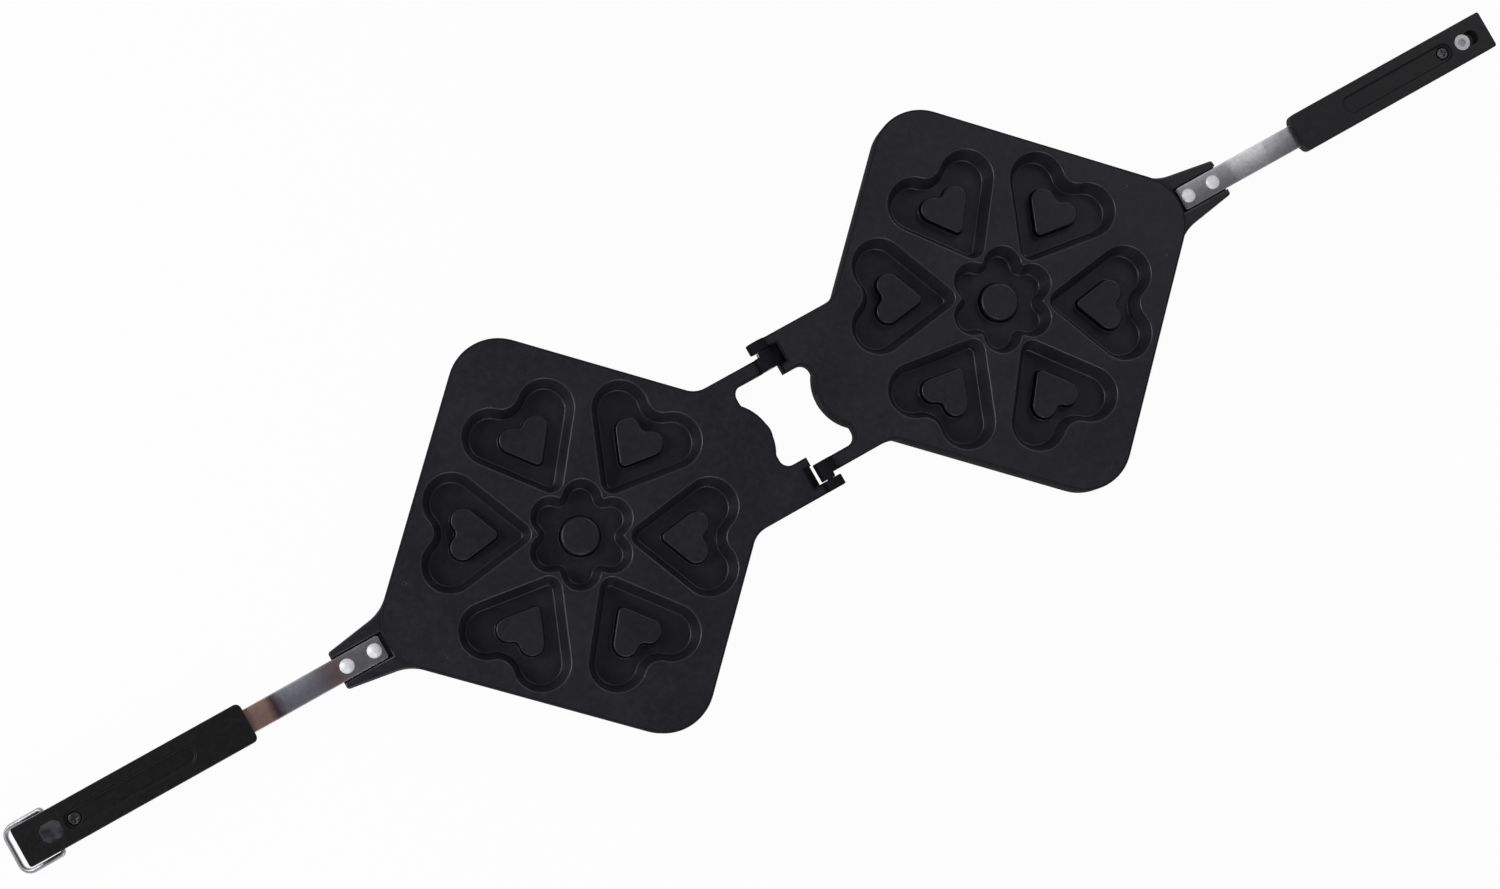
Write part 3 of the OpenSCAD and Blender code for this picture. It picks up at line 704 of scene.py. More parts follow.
def cavity(shape, outline, raised, run, raised_lip=FIGURE_LIP):
    """One cavity with a raised figure on its floor; returns its ring on the parting face."""
    wall = [shape.ring(outline(d), PLATE_H + z)
            for d, z in draft(WALL_RUN, CAVITY_DEPTH, LIP, FOOT)]
    shape.skin(wall)
    top = PLATE_H - CAVITY_DEPTH + FIGURE_H
    block_wall = [shape.ring(raised(d), top + z)
                  for d, z in draft(run, FIGURE_H, raised_lip, FIGURE_FOOT)]
    shape.skin(block_wall)
    shape.fill(wall[-1], block_wall[-1])
    shape.fill(block_wall[0])
    return wall[0]


print("wall:", len(draft(WALL_RUN, CAVITY_DEPTH, LIP, FOOT)), "rings down", CAVITY_DEPTH, "mm")

# %% [markdown]
# Plate and tab from above
#
# The parting face is one outline: the square plate with its round corners, and the tab that
# carries the hinge, with its slot and with the wavy opening between the two tabs. It is
# laid together from simple shapes. The knuckles stand above the face, so they come later,
# and the arms end inside them here.

# %% Plate and tab outline
PLATE_CORNER_R = 24.0
TAB_T = 8.0
KNUCKLE_R = 5.0
AXIS_Z = 14.2
FORK_Y = 40.0
SLOT_Y1 = 34.7
SLOT_Y0 = 24.7
INNER_Y = 20.0
INNER_X = 5.5
SLOT_X = 9.4
TONGUE_Y0 = 25.0
TONGUE_Y1 = 32.3
HEEL_GAP = 0.4
HEEL_T = 3.0
TAB_FILLET = 12.0
BUMP_X = 13.8
FORK_POCKET_X = 17.5
TONGUE_POCKET_X = 20.8
POCKET_R = 4.8
ARM_X = 2.6
SUNK = 0.03


def ease(t):
    """From 0 to 1 with level ends."""
    return (1 - math.cos(math.pi * max(0.0, min(1.0, t)))) / 2


def tab_fillet(y):
    """The fill between the tab's edge at y and the plate's slanting edge."""
    corner = Vector((HINGE_TO_CORNER + y, y))
    back = TAB_FILLET * math.tan(math.radians(22.5))
    middle = corner + Vector((-back, TAB_FILLET))
    return [corner + Vector((1, -1))] + arc(middle, TAB_FILLET, -90, -45, 8)


def opening():
    """The opening between the two tabs: a pocket by each arm and a bump between them."""
    steps = 24
    fork_wave = INNER_Y - POCKET_R - 2
    tongue_wave = TONGUE_Y0 - POCKET_R - 2
    left = -KNUCKLE_R - 1
    points = [Vector((left, -TONGUE_Y0 - SUNK))]
    points += arc((TONGUE_POCKET_X - POCKET_R, POCKET_R - TONGUE_Y0 - SUNK), POCKET_R, -90, 0, 8)
    for i in range(2 * steps + 1):
        wave, deep = (tongue_wave, TONGUE_POCKET_X) if i < steps else (fork_wave, FORK_POCKET_X)
        y = wave * (i - steps) / steps
        points.append(Vector((BUMP_X + (deep - BUMP_X) * ease(abs(y) / wave), y)))
    points += arc((FORK_POCKET_X - POCKET_R, INNER_Y - POCKET_R), POCKET_R, 0, 90, 8)
    return points + [Vector((left, INNER_Y))]


tab_reach = FORK_Y + HINGE_TO_CORNER + TAB_FILLET
plate_square = turned(rounded(-PLATE_SIDE / 2, PLATE_SIDE / 2, PLATE_SIDE, PLATE_CORNER_R,
                              PLATE_CORNER_R, 16), 45, (PLATE_X, 0))
laid = {
    "plate": plate_square,
    "tab": block(ARM_X, tab_reach, -TONGUE_Y1 + SUNK, FORK_Y - SUNK),
    "fork_fill": wound(tab_fillet(FORK_Y)),
    "tongue_fill": wound(mirrored(tab_fillet(TONGUE_Y1))),
    "opening": wound(opening()),
    "slot": block(-KNUCKLE_R - 1, SLOT_X, SLOT_Y0, SLOT_Y1 + SUNK),
    "cheek_end": block(-1, INNER_X, INNER_Y - 1, SLOT_Y0 + 1),
}


def in_face(over):
    """Is this spot part of the parting face, plate or tab?"""
    tab = over & {"tab", "fork_fill", "tongue_fill"} and not over & {"opening", "cheek_end"}
    return ("plate" in over or bool(tab)) and "slot" not in over


face_loops, plate_loops, tab_loops = outlines(
    laid, in_face, lambda over: "plate" in over,
    lambda over: in_face(over) and "plate" not in over)
print("parting face:", len(face_loops), "outline of", len(face_loops[0]), "points")

# %% [markdown]
# The casting
#
# One casting is drawn as the right half. The face is filled between the rounded outer edge
# and the lips of the cavities. The plate's wall goes down to the stove, the tab's underside
# lies higher. Underneath, the plate is hollow: a rim stands on the stove, and the cavities
# bulge down between the ribs of the deck. A Boolean could cut all this from a block, but it
# leaves slivers along the round lips, so each face is filled round its openings instead.
# A small heel narrows the foot of the hinge's slot, where the photograph is dark.

# %% Casting
FACE_EDGE = 0.9
RIM_EDGE = 1.0
RIM_W = 4.0
DECK_T = 4.0
BULGE_WALL = 2.0
HEEL_EDGE = 0.4
HEEL_BEDDED = 0.5
DIMPLES = [(200.1, -20.3, 0.9), (200.2, 19.0, 0.7)]


def hollows():
    """The outlines of the hollows underneath, between the rim and the bulging cavities."""
    under = {"inner": turned(rounded(RIM_W - PLATE_SIDE / 2, PLATE_SIDE / 2 - RIM_W,
                                     PLATE_SIDE - 2 * RIM_W, PLATE_CORNER_R - RIM_W,
                                     PLATE_CORNER_R - RIM_W, 12), 45, (PLATE_X, 0))}
    for k in range(HEARTS):
        under[f"heart{k}"] = at_heart(k, heart(-BULGE_WALL))
        petal = turned([Vector((PETAL_C, 0))], 360 / HEARTS * k, (PLATE_X, 0))[0]
        under[f"petal{k}"] = circle(petal, PETAL_R + BULGE_WALL)
    under["flower"] = [p + Vector((PLATE_X, 0)) for p in flower(-PETAL_NOTCH_R / 2)]
    return outlines(under, lambda over: over == {"inner"})[0]


def heel():
    """The heel that narrows the foot of the fork's slot."""
    foot = block(KNUCKLE_R + HEEL_GAP, SLOT_X + HEEL_BEDDED,
                 SLOT_Y0 - HEEL_BEDDED, SLOT_Y1 + HEEL_BEDDED)
    return Shape().prism([foot], PLATE_H - TAB_T + SUNK, PLATE_H - TAB_T + HEEL_T, HEEL_EDGE)


def cavities(shape):
    """All cavities and dimples of one half; returns their rings on the parting face."""
    lips = [cavity(shape, lambda d, k=k: at_heart(k, heart(d)),
                   lambda d, k=k: figure(k, d), FIGURE_RUN * FIGURE_SCALE)
            for k in range(HEARTS)]
    lips.append(cavity(shape, lambda d: [p + Vector((PLATE_X, 0)) for p in flower(d)],
                       lambda d: circle((PLATE_X, 0), FLOWER_FIGURE_R + d, 60),
                       FIGURE_RUN, ROUND_FIGURE_LIP))
    for x, y, radius in DIMPLES:
        dimple = [shape.ring(circle((x, y), r, 16), PLATE_H + z)
                  for r, z in ((radius + 0.2, 0), (radius, -0.1), (radius * 0.8, -0.4))]
        shape.skin(dimple)
        shape.fill(dimple[-1])
        lips.append(dimple[0])
    return lips


def underside(shape, tab_z):
    """The plate's wall below the tab, its rim, the tab's underside and the hollows."""
    rim = shape.edge(plate_loops[0], 0.0, RIM_EDGE, up=False)
    shape.skin([shape.ring(plate_loops[0], tab_z)] + rim)
    shape.fill(*[shape.ring(loop, tab_z) for loop in tab_loops])
    mouths, ceilings = [], []
    for loop in hollows():
        mouths.append(shape.ring(loop, 0.0))
        ceilings.append(shape.ring(loop, PLATE_H - DECK_T))
        shape.skin([mouths[-1], ceilings[-1]])
    shape.fill(rim[-1], *mouths)
    shape.fill(*ceilings)


def casting():
    """Plate and tab of one half, without knuckles and strap boss."""
    shape = Shape()
    tab_z = PLATE_H - TAB_T
    rings = shape.edge(face_loops[0], PLATE_H, FACE_EDGE, up=True)
    shape.skin([shape.ring(face_loops[0], tab_z)] + rings)
    shape.dull()
    shape.fill(rings[-1], *cavities(shape))
    underside(shape, tab_z)
    return shape


print("hollows underneath:", len(hollows()))

# %% [markdown]
# Knuckles
#
# The left half's fork holds the right half's tongue, and the other way round, and each fork
# holds a steel pin. A knuckle is a disc with a bore, drawn from the side and stood up
# across the hinge: in this way one recipe for prisms rounds its rims and those of the bore
# too. Beside the tongue there is a half-round cheek that fills the fork.

# %% Knuckles
PIN_R = 2.0
PIN_PLAY = 0.06
TONGUE_GAP = 0.3
CHEEK_FLAT_X = 1.5
CHEEK_GAP = 0.2
CHEEK_EDGE = 0.3
KNUCKLE_EDGE = 0.6


def across(loops, y0, y1, radius):
    """A solid drawn from the side, X outwards and Y upwards, that reaches from y0 to y1."""
    solid = Shape().prism(loops, -y1, -y0, radius)
    solid.mesh.transform(Matrix.Rotation(math.pi / 2, 4, "X"))
    return solid


def knuckles():
    """The discs of the fork and the tongue, with their bores."""
    axis = (0.0, AXIS_Z)
    disc = circle(axis, KNUCKLE_R, 64)
    pressed = circle(axis, PIN_R, 32)[::-1]
    running = circle(axis, PIN_R + PIN_PLAY, 32)[::-1]
    reach = KNUCKLE_R + 1
    cut = {"disc": circle(axis, KNUCKLE_R - SUNK, 32),
           "flat": block(CHEEK_FLAT_X, reach, AXIS_Z - KNUCKLE_R - 1, AXIS_Z + KNUCKLE_R + 1)}
    half_round = outlines(cut, lambda over: over == {"disc"})[0][0]
    both = across([disc, pressed], SLOT_Y1, FORK_Y, KNUCKLE_EDGE)
    both.take(across([disc, running], -TONGUE_Y1, -TONGUE_Y0, KNUCKLE_EDGE))
    both.take(across([half_round], TONGUE_GAP - SLOT_Y1, CHEEK_GAP - TONGUE_Y1, CHEEK_EDGE))
    return both


print("knuckles:", 2 * KNUCKLE_R, "mm across on", 2 * PIN_R, "mm pins")

# %% [markdown]
# Strap boss
#
# At the outer corner the casting grows a boss under the strap, with a fin on each side.
# Each fin runs into the plate with a wide fillet. Seen from above the upper storey is the
# boss without its channel and the lower storey is the whole boss, so both are laid out at
# once and share their points. When it is done, the parts of each half are joined, and all
# faces that look sideways or down get the duller coating, whose colour is painted darker
# as shade.

# %% Strap boss
FIN_FLARE = 0.16
FIN_T = 3.3
FIN_TIP_R = 1.5
FIN_FILLET_R = 22.0
CHANNEL_W = 13.0
BOSS_Z = 2.5
BOSS_TOP = 11.7
CHANNEL_Z = 8.5
BOSS_EDGE = 0.9
PLATE_REACH = PLATE_X + PLATE_SIDE / math.sqrt(2)
PLATE_TIP_X = PLATE_REACH - PLATE_CORNER_R * (math.sqrt(2) - 1)
FIN_END_X = PLATE_TIP_X + 25.8
FIN_END_Y = CHANNEL_W / 2 + FIN_T
FIN_TIP_X = FIN_END_X - FIN_TIP_R
BOSS_ROOT_X = PLATE_TIP_X - PLATE_CORNER_R / 2


def fin_fillet():
    """The fill between a fin's outer face and the plate's slanting edge."""
    fin_angle = math.degrees(math.atan(FIN_FLARE))
    half = (135 + fin_angle) / 2
    way = math.radians(135 - half)
    x = (PLATE_REACH - FIN_END_Y - FIN_FLARE * FIN_TIP_X) / (1 - FIN_FLARE)
    corner = Vector((x, PLATE_REACH - x))
    away = FIN_FILLET_R / math.sin(math.radians(half))
    middle = corner + away * Vector((math.cos(way), math.sin(way)))
    curve = arc(middle, FIN_FILLET_R, -90 - fin_angle, -135, 10)
    inside = Vector((BOSS_ROOT_X, curve[-1].y - curve[-1].x + BOSS_ROOT_X))
    return curve + [inside, Vector((BOSS_ROOT_X, FIN_END_Y / 2))]


def boss():
    """The boss with its channel and its two fins."""
    root_x = BOSS_ROOT_X
    root_y = FIN_END_Y + FIN_FLARE * (FIN_TIP_X - root_x)
    tip_y = FIN_END_Y - FIN_TIP_R
    fins = {
        "core": [Vector(p) for p in ((root_x, -root_y), (FIN_TIP_X, -FIN_END_Y),
                                     (FIN_TIP_X, FIN_END_Y), (root_x, root_y))],
        "end": block(root_x, FIN_END_X, -tip_y, tip_y),
        "tip_a": circle((FIN_TIP_X, tip_y), FIN_TIP_R, 32),
        "tip_b": circle((FIN_TIP_X, -tip_y), FIN_TIP_R, 32),
        "fill_a": wound(fin_fillet()),
        "fill_b": wound(mirrored(fin_fillet())),
        "channel": block(PLATE_TIP_X, FIN_END_X + 1, -CHANNEL_W / 2, CHANNEL_W / 2),
    }

    def solid(over):
        return bool(over - {"channel"})

    whole, upper, bed = outlines(
        fins, solid, lambda over: solid(over) and "channel" not in over,
        lambda over: solid(over) and "channel" in over)
    shape = Shape()
    low = shape.edge(whole[0], BOSS_Z, BOSS_EDGE, up=False)
    shape.skin([shape.ring(whole[0], CHANNEL_Z)] + low)
    shape.fill(low[-1])
    high = shape.edge(upper[0], BOSS_TOP, BOSS_EDGE, up=True)
    shape.skin([shape.ring(upper[0], CHANNEL_Z)] + high)
    shape.fill(high[-1])
    shape.fill(shape.ring(bed[0], CHANNEL_Z))
    return shape


SIDE_SLOPE = 0.28
for side in SIDES:
    half = casting()
    half.tidy().take(knuckles().dull().tidy())
    half.take(boss().tidy()).take(heel().tidy()).tidy()
    # Faces that look sideways or down take the side finish, painted darker as shade.
    for face in half.mesh.faces:
        if face.normal.z < SIDE_SLOPE:
            face.material_index = 1
    make(half, f"{side}_casting", side, f"{side}_plate", "nonstick", coating, shaded_side_coating)

# %% [markdown]
# Hinge pins
#
# The pins are plain steel rods, and only their ends show in the cheeks. Their solids have
# the right shape, so they stay, and only get a finish: steel with fine turning marks.

# %% Steel
def steel(name, colour, dark, roughness, stretch=(1, 1, 1), grain=0.5, shade=0.5, metallic=1.0):
    """A bare or plated metal: clouds of two colours, and fine marks that can be drawn out."""
    metal = Finish(name, Metallic=metallic)
    marks = metal.noise(grain, stretch, detail=2)
    stain = metal.noise(9, detail=3).step(0.3, 0.75)
    metal.give({
        "Base Color": metal.mix(colour, dark, stain * shade + marks * 0.2),
        "Roughness": roughness + marks * 0.12 + stain * 0.06,
        "Normal": metal.bump(marks, 0.012, 0.4),
    })
    return metal


def keep(node, finish):
    """Leaves a solid as it is and gives it a finish."""
    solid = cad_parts[node]
    solid.data.materials.clear()
    solid.data.materials.append(finish.material)


pin_steel = steel("pin_steel", (0.40, 0.40, 0.41), (0.20, 0.20, 0.21), 0.32)
for side in SIDES:
    keep(f"{side}_hinge_pin", pin_steel)
print("pins:", len(pin_steel.tree.nodes), "nodes in their steel")

# %% [markdown]
# Straps
#
# A strap is a flat bar that lies level in the boss, steps down and then runs into the grip.
# It could be bent by a curve, but a sweep is easier to hold to its size: the same rounded
# cross-section at many places along the bar, each at the height of the bend. Near its
# inner end the section grows narrower, which rounds the corners.

# %% Strap shape
STRAP_W = 12.0
STRAP_T = 2.0
STRAP_X0 = PLATE_TIP_X + 2.0
STRAP_X1 = FIN_END_X + 3.2
STRAP_SLANT = 37.0
STRAP_CORNER_R = 1.5
STRAP_EDGE = 0.3
STRAP_END_THIN = 0.3
BEND_STEPS = 28
GRIP_X0 = FIN_END_X + 46.2
GRIP_Z0 = 11.7
GRIP_T = 9.5
TILT = math.radians(1.0)
SCREW_X = 88.0
STRAP_X3 = GRIP_X0 + (SCREW_X + 6) * math.cos(TILT)


def strap_z(x):
    """Height of the strap's middle."""
    level = CHANNEL_Z + STRAP_T / 2
    sloped = GRIP_Z0 - GRIP_T / 2 / math.cos(TILT) + (x - GRIP_X0) * math.tan(TILT)
    return level + (sloped - level) * ease((x - STRAP_X1) / STRAP_SLANT)


def upright(points, x, z):
    """Points of a cross-section, drawn as across and up, as places at x."""
    return [Vector((x, p.x, z + p.y)) for p in points]


def sweep(sections):
    """A skin over cross-sections with equal numbers of points, closed at both ends."""
    shape = Shape()
    rings = [[shape.mesh.verts.new(p) for p in section] for section in sections]
    shape.skin(rings)
    for ring in (rings[0], rings[-1]):
        shape.mesh.faces.new(ring)
    return shape


def strap():
    """One strap."""
    places = []
    for i in range(7):
        a = math.radians(90 * i / 6)
        places.append((STRAP_X0 + STRAP_CORNER_R * (1 - math.cos(a)),
                       STRAP_CORNER_R * (1 - math.sin(a))))
    places += [(STRAP_X0 + 2, 0), (STRAP_X1, 0)]
    places += [(STRAP_X1 + STRAP_SLANT * i / BEND_STEPS, 0) for i in range(1, BEND_STEPS + 1)]
    places += [(GRIP_X0, 0), (STRAP_X3, 0)]
    sections = []
    for x, narrow in places:
        thick = STRAP_T - (STRAP_END_THIN if x == STRAP_X0 else 0)
        loop = rounded(-STRAP_W / 2 + narrow, STRAP_W / 2 - narrow, thick,
                       STRAP_EDGE, STRAP_EDGE, 3)
        sections.append(upright(loop, x, strap_z(x)))
    return sweep(sections)


print("strap:", round(STRAP_X3 - STRAP_X0, 1), "mm long as seen from above")

# %% [markdown]
# Strap steel
#
# The straps are bare steel, rolled along their length. The right one is pale and bright,
# with a paler band painted where the bend catches the light. On the left one the colour
# turns from grey to brown, with a dark violet band, and then to a paler straw brown near
# the grip: these browns and the dark band are painted reflections. A ramp along X holds
# that painted light, and a slow noise bends it so that it doesn't look ruled. Fine streaks
# and small blotches break up the grey, and the two long edges are painted brighter, as the
# highlight where the bar's corners catch the light.

# %% Strap finish
STREAK = (0.10, 0.10, 0.11)
EDGE_HIGHLIGHT = (0.72, 0.72, 0.74)


def strap_finish(name, stops):
    """Rolled steel with reflections painted along the strap; the places are in millimetres."""
    metal = Finish(name, Metallic=1.0)
    x = abs(metal.along("X", metal.place()))
    wander = (metal.noise(7, detail=3) - 0.5) * 0.004
    start, end = stops[0][0] / 1000, stops[-1][0] / 1000
    along = metal.add("ShaderNodeMapRange", {}, {"Value": x + wander, "From Min": start,
                                                 "From Max": end})
    places = [((p - stops[0][0]) / (stops[-1][0] - stops[0][0]), c) for p, c in stops]
    reflection_ramp = metal.add("ShaderNodeValToRGB", {"stops": places}, {"Fac": along})
    rolled = metal.noise(0.35, (0.06, 1, 1), detail=2)
    blotch = metal.noise(2.4, detail=4, rough=0.65).step(0.38, 0.68)
    # Painted highlight: the two long edges are made paler.
    rim = abs(metal.along("Y", metal.place())).step(0.0049, 0.0057)
    grey = metal.mix(reflection_ramp, STREAK, rolled.step(0.4, 1.0) * 0.4 + blotch * 0.22)
    metal.give({
        "Base Color": metal.mix(grey, EDGE_HIGHLIGHT, rim * 0.35),
        "Roughness": 0.30 + rolled * 0.15,
        "Normal": metal.bump(rolled, 0.01, 0.4),
    })
    return metal


# The ramps paint light along the straps: the right one's paler band over the bend, the left
# one's reflections.
STRAP_PAINTED_REFLECTIONS = {
    "right": [(220, (0.34, 0.34, 0.36)), (252, (0.36, 0.36, 0.38)), (255, (0.49, 0.49, 0.50)),
              (273, (0.48, 0.48, 0.48)), (275, (0.38, 0.38, 0.40)), (296, (0.37, 0.37, 0.39))],
    "left": [(220, (0.40, 0.40, 0.43)), (242, (0.36, 0.34, 0.36)), (247, (0.34, 0.25, 0.25)),
             (253, (0.33, 0.28, 0.30)), (259, (0.32, 0.32, 0.36)), (274, (0.30, 0.30, 0.34)),
             (279, (0.10, 0.06, 0.08)), (283, (0.56, 0.33, 0.27)), (296, (0.76, 0.54, 0.48))],
}
for side in SIDES:
    rolled_steel = strap_finish(f"{side}_strap_steel", STRAP_PAINTED_REFLECTIONS[side])
    make(strap(), f"{side}_bar", side, f"{side}_strap", "strap_steel", rolled_steel)

# %% [markdown]
# Rivets
#
# Two rivets hold each strap. Their heads are low bright domes, pressed from above, and the
# tails are closed flat under the boss. A flattened ball would pass for the head alone, but
# not for the shank and the tail. So each rivet is one turned shape, and the lathe takes
# points of radius and height. The aluminium is rubbed dull, so it scatters more than it
# mirrors.

# %% Rivets
RIVET_INSET = 4.6
RIVET_PITCH = 14.3
RIVET_XS = (STRAP_X0 + RIVET_INSET, STRAP_X0 + RIVET_INSET + RIVET_PITCH)
RIVET_R = 2.0
HEAD_R = 3.5
HEAD_H = 1.5
TAIL_H = 1.0


def rivets():
    """Both rivets of one strap."""
    both = Shape()
    top = CHANNEL_Z + STRAP_T
    dome_r = (HEAD_R ** 2 + HEAD_H ** 2) / (2 * HEAD_H)
    dome = []
    for i in range(9):
        r = HEAD_R * 0.97 * i / 8
        dome.append((r, top + HEAD_H - dome_r + math.sqrt(dome_r ** 2 - r ** 2)))
    shank = [(HEAD_R, top + 0.05), (HEAD_R - 0.05, top), (RIVET_R, top), (RIVET_R, BOSS_Z)]
    tail = [(HEAD_R - 0.1, BOSS_Z), (HEAD_R, BOSS_Z - 0.15), (HEAD_R, BOSS_Z - TAIL_H + 0.3),
            (HEAD_R - 0.3, BOSS_Z - TAIL_H), (0, BOSS_Z - TAIL_H)]
    for x in RIVET_XS:
        both.lathe(dome + shank + tail, (x, 0))
    return both


rivet_metal = steel("rivet_aluminium", (0.93, 0.93, 0.95), (0.78, 0.78, 0.80), 0.36, grain=0.4,
                    metallic=0.15)
for side in SIDES:
    make(rivets(), f"{side}_rivet_pair", side, f"{side}_rivets", "rivet_aluminium", rivet_metal)

# %% [markdown]
# Grips
#
# Each grip is half of the round handle that the shut pan has: flat inside, round outside.
# It is moulded, so every edge is soft. A box with bevels would have one radius only, and
# this one has a different one at each edge. So the body is a sweep of cross-sections that
# get thinner where the end is rounded off, open at the top. The flat inner face is filled
# in between, round a long recess with the screw's seat in it and round the latch's seat.

# %% Grip shape
GRIP_L = 115.0
GRIP_W = 19.7
GRIP_ROUND = 4.0
GRIP_END_R = 7.0
GRIP_ROOT_R = 2.5
GRIP_TIP_R = 1.2
GRIP_EDGE = 0.5
RECESS_X = 27.3
RECESS_W = 9.3
RECESS_T = 1.6
RECESS_END_R = RECESS_W / 2 - 0.05
RECESS_FOOT = 1.25
RECESS_FOOT_SPREAD = 0.7
SEAT_T = 2.8
SEAT_R = RECESS_W / 2 - 1.35
SEAT_FOOT = 0.2
PIT_LIP = 0.3
LATCH_LIP = 0.15
LATCH_FOOT = 0.05
PIVOT_X = 99.5
MAGNET_T = 2.0
FLUSH = 0.1
STRIKER_R = 4.0
MAGNET_L = 10.0
MAGNET_W = 9.0
MAGNET_CORNER = 2.2
MAGNET_PLAY = 0.1
POCKET_X = PIVOT_X + 5.2
ROUND_POCKET_R = 3.8
ROUND_POCKET_T = 3.0

on_grip = Matrix.Translation((GRIP_X0, 0, GRIP_Z0)) @ Matrix.Rotation(-TILT, 4, "Y")


def corner_cut(x):
    """How far a round corner of the plan pulls in the side at x."""
    cut = 0.0
    for radius, distance in ((GRIP_ROOT_R, x), (GRIP_TIP_R, GRIP_L - x)):
        if distance < radius:
            cut = max(cut, radius - math.sqrt(max(0, radius ** 2 - (radius - distance) ** 2)))
    return cut


def grip_depth(x):
    """How thick the grip is at x: its outer side is rounded off towards the free end."""
    depth = GRIP_T
    past = x - (GRIP_L - GRIP_END_R)
    if past > 0:
        depth = GRIP_T - GRIP_END_R + math.sqrt(max(0, GRIP_END_R ** 2 - past ** 2))
    if x < 1:
        depth -= 1 - math.sqrt(1 - (1 - x) ** 2)
    return depth


def grip_section(x):
    """The cross-section at x, from the edge of the inner face down, round and up again."""
    half = GRIP_W / 2 - corner_cut(x)
    drop = 0.0
    for distance in (x, GRIP_L - x):
        if distance < GRIP_EDGE:
            drop = GRIP_EDGE - math.sqrt(GRIP_EDGE ** 2 - (GRIP_EDGE - distance) ** 2)
    depth = grip_depth(x)
    low_r = min(GRIP_ROUND, depth - drop - GRIP_EDGE - 0.4)
    right = [Vector((half - GRIP_EDGE * 1.15, -drop))]
    right += arc((half - GRIP_EDGE, -drop - GRIP_EDGE), GRIP_EDGE, 90, 0, 3)
    right += [Vector((half, -drop - GRIP_EDGE - 0.25))]
    right += arc((half - low_r, low_r - depth), low_r, 0, -90, 8)
    left = [Vector((-p.x, p.y)) for p in reversed(right)]
    return right + left


def grip_stations():
    """Where the cross-sections are: close together at both ends."""
    near = [0, 0.03, 0.15, 0.35, 0.6, 1.0, 1.5, 2.1, 2.8]
    far = [8, 7, 6, 5, 4, 3, 2.2, 1.5, 1.0, 0.6, 0.35, 0.15, 0.03, 0]
    return near + [20, 50, 80] + [GRIP_L - d for d in far]


def pit(shape, loop, lip, depth, foot, top=0.0, floor=True, spread=1.0):
    """A pit with a round lip and a floor fillet; spread below 1 makes the fillet narrower."""
    hole = loop[::-1]
    rings = [shape.ring(inset(hole, lip * 1.15), top)]
    for i in range(4):
        a = math.radians(30 * i)
        rings.append(shape.ring(inset(hole, lip * (1 - math.sin(a))),
                                top - lip * (1 - math.cos(a))))
    for i in range(4):
        a = math.radians(30 * i)
        rings.append(shape.ring(inset(hole, spread * foot * (math.cos(a) - 1)),
                                top - depth + foot * (1 - math.sin(a))))
    shape.skin(rings)
    if floor:
        shape.fill(rings[-1])
    return rings[0], rings[-1]


def magnet_seat():
    """The outline of the magnet's seat: a rectangle with cut corners."""
    long, wide, cut = MAGNET_L / 2 + MAGNET_PLAY, MAGNET_W / 2 + MAGNET_PLAY, MAGNET_CORNER
    corners = ((cut - long, -wide), (long - cut, -wide), (long, cut - wide), (long, wide - cut),
               (long - cut, wide), (cut - long, wide), (-long, wide - cut), (-long, cut - wide))
    return [Vector((PIVOT_X + x, y)) for x, y in corners]


def grip_body(shape):
    """The body's skin, open at the level inner face, whose rim it returns."""
    sections = [[shape.mesh.verts.new(p) for p in upright(grip_section(x), x, 0)]
                for x in grip_stations()]
    for near, far in zip(sections, sections[1:]):
        for i in range(len(near) - 1):
            shape.mesh.faces.new((near[i], near[i + 1], far[i + 1], far[i])).smooth = True
    shape.mesh.faces.new(sections[0])
    shape.mesh.faces.new(sections[-1])
    level = [s for s in sections if s[0].co.z > -1e-6]
    for near, far in zip(sections, sections[1:]):
        if near not in level or far not in level:
            shape.mesh.faces.new((near[0], far[0], far[-1], near[-1])).smooth = True
    return [s[0] for s in level] + [s[-1] for s in reversed(level)]


def grip(side):
    """One half-grip, in its own frame: X from its root outwards, inner face at 0."""
    shape = Shape()
    face = grip_body(shape)
    loop = rounded(RECESS_X, SCREW_X + RECESS_W / 2, RECESS_W, RECESS_END_R, RECESS_END_R, 16)
    mouth, floor = pit(shape, loop, PIT_LIP, RECESS_T, RECESS_FOOT, floor=False,
                       spread=RECESS_FOOT_SPREAD)
    seat = pit(shape, circle((SCREW_X, 0), SEAT_R, 40), PIT_LIP, SEAT_T - RECESS_T, SEAT_FOOT,
               top=-RECESS_T)[0]
    shape.fill(floor, seat)
    if side == "right":
        seats = {"disc": circle((PIVOT_X, 0), STRIKER_R + MAGNET_PLAY, 40),
                 "pocket": circle((POCKET_X, 0), ROUND_POCKET_R, 40)}
        latch, depth = outlines(seats, bool)[0][0], ROUND_POCKET_T
    else:
        latch, depth = magnet_seat(), MAGNET_T + FLUSH
    shape.fill(face, mouth, pit(shape, latch, LATCH_LIP, depth, LATCH_FOOT)[0])
    shape.mesh.transform(on_grip)
    return shape


print("grip:", GRIP_L, "x", GRIP_W, "x", GRIP_T, "mm,", len(grip_stations()), "cross-sections")

# %% [markdown]
# Moulded plastic
#
# The grips are a hard black plastic that stands heat. It has a dull sheen, a slight mottle
# from the mould and fine scratches along its length where it has been wiped. An even black
# would hide the recess, whose steep sides lie in shade and show as dark lines. So steep
# faces are painted darker, as shade, and are duller here too. The left grip is painted
# blacker than the right, as shade, since the light is brighter on the right.

# %% Grip finish
PLASTIC_PAINTED_SHADE = (0.002, 0.002, 0.002)


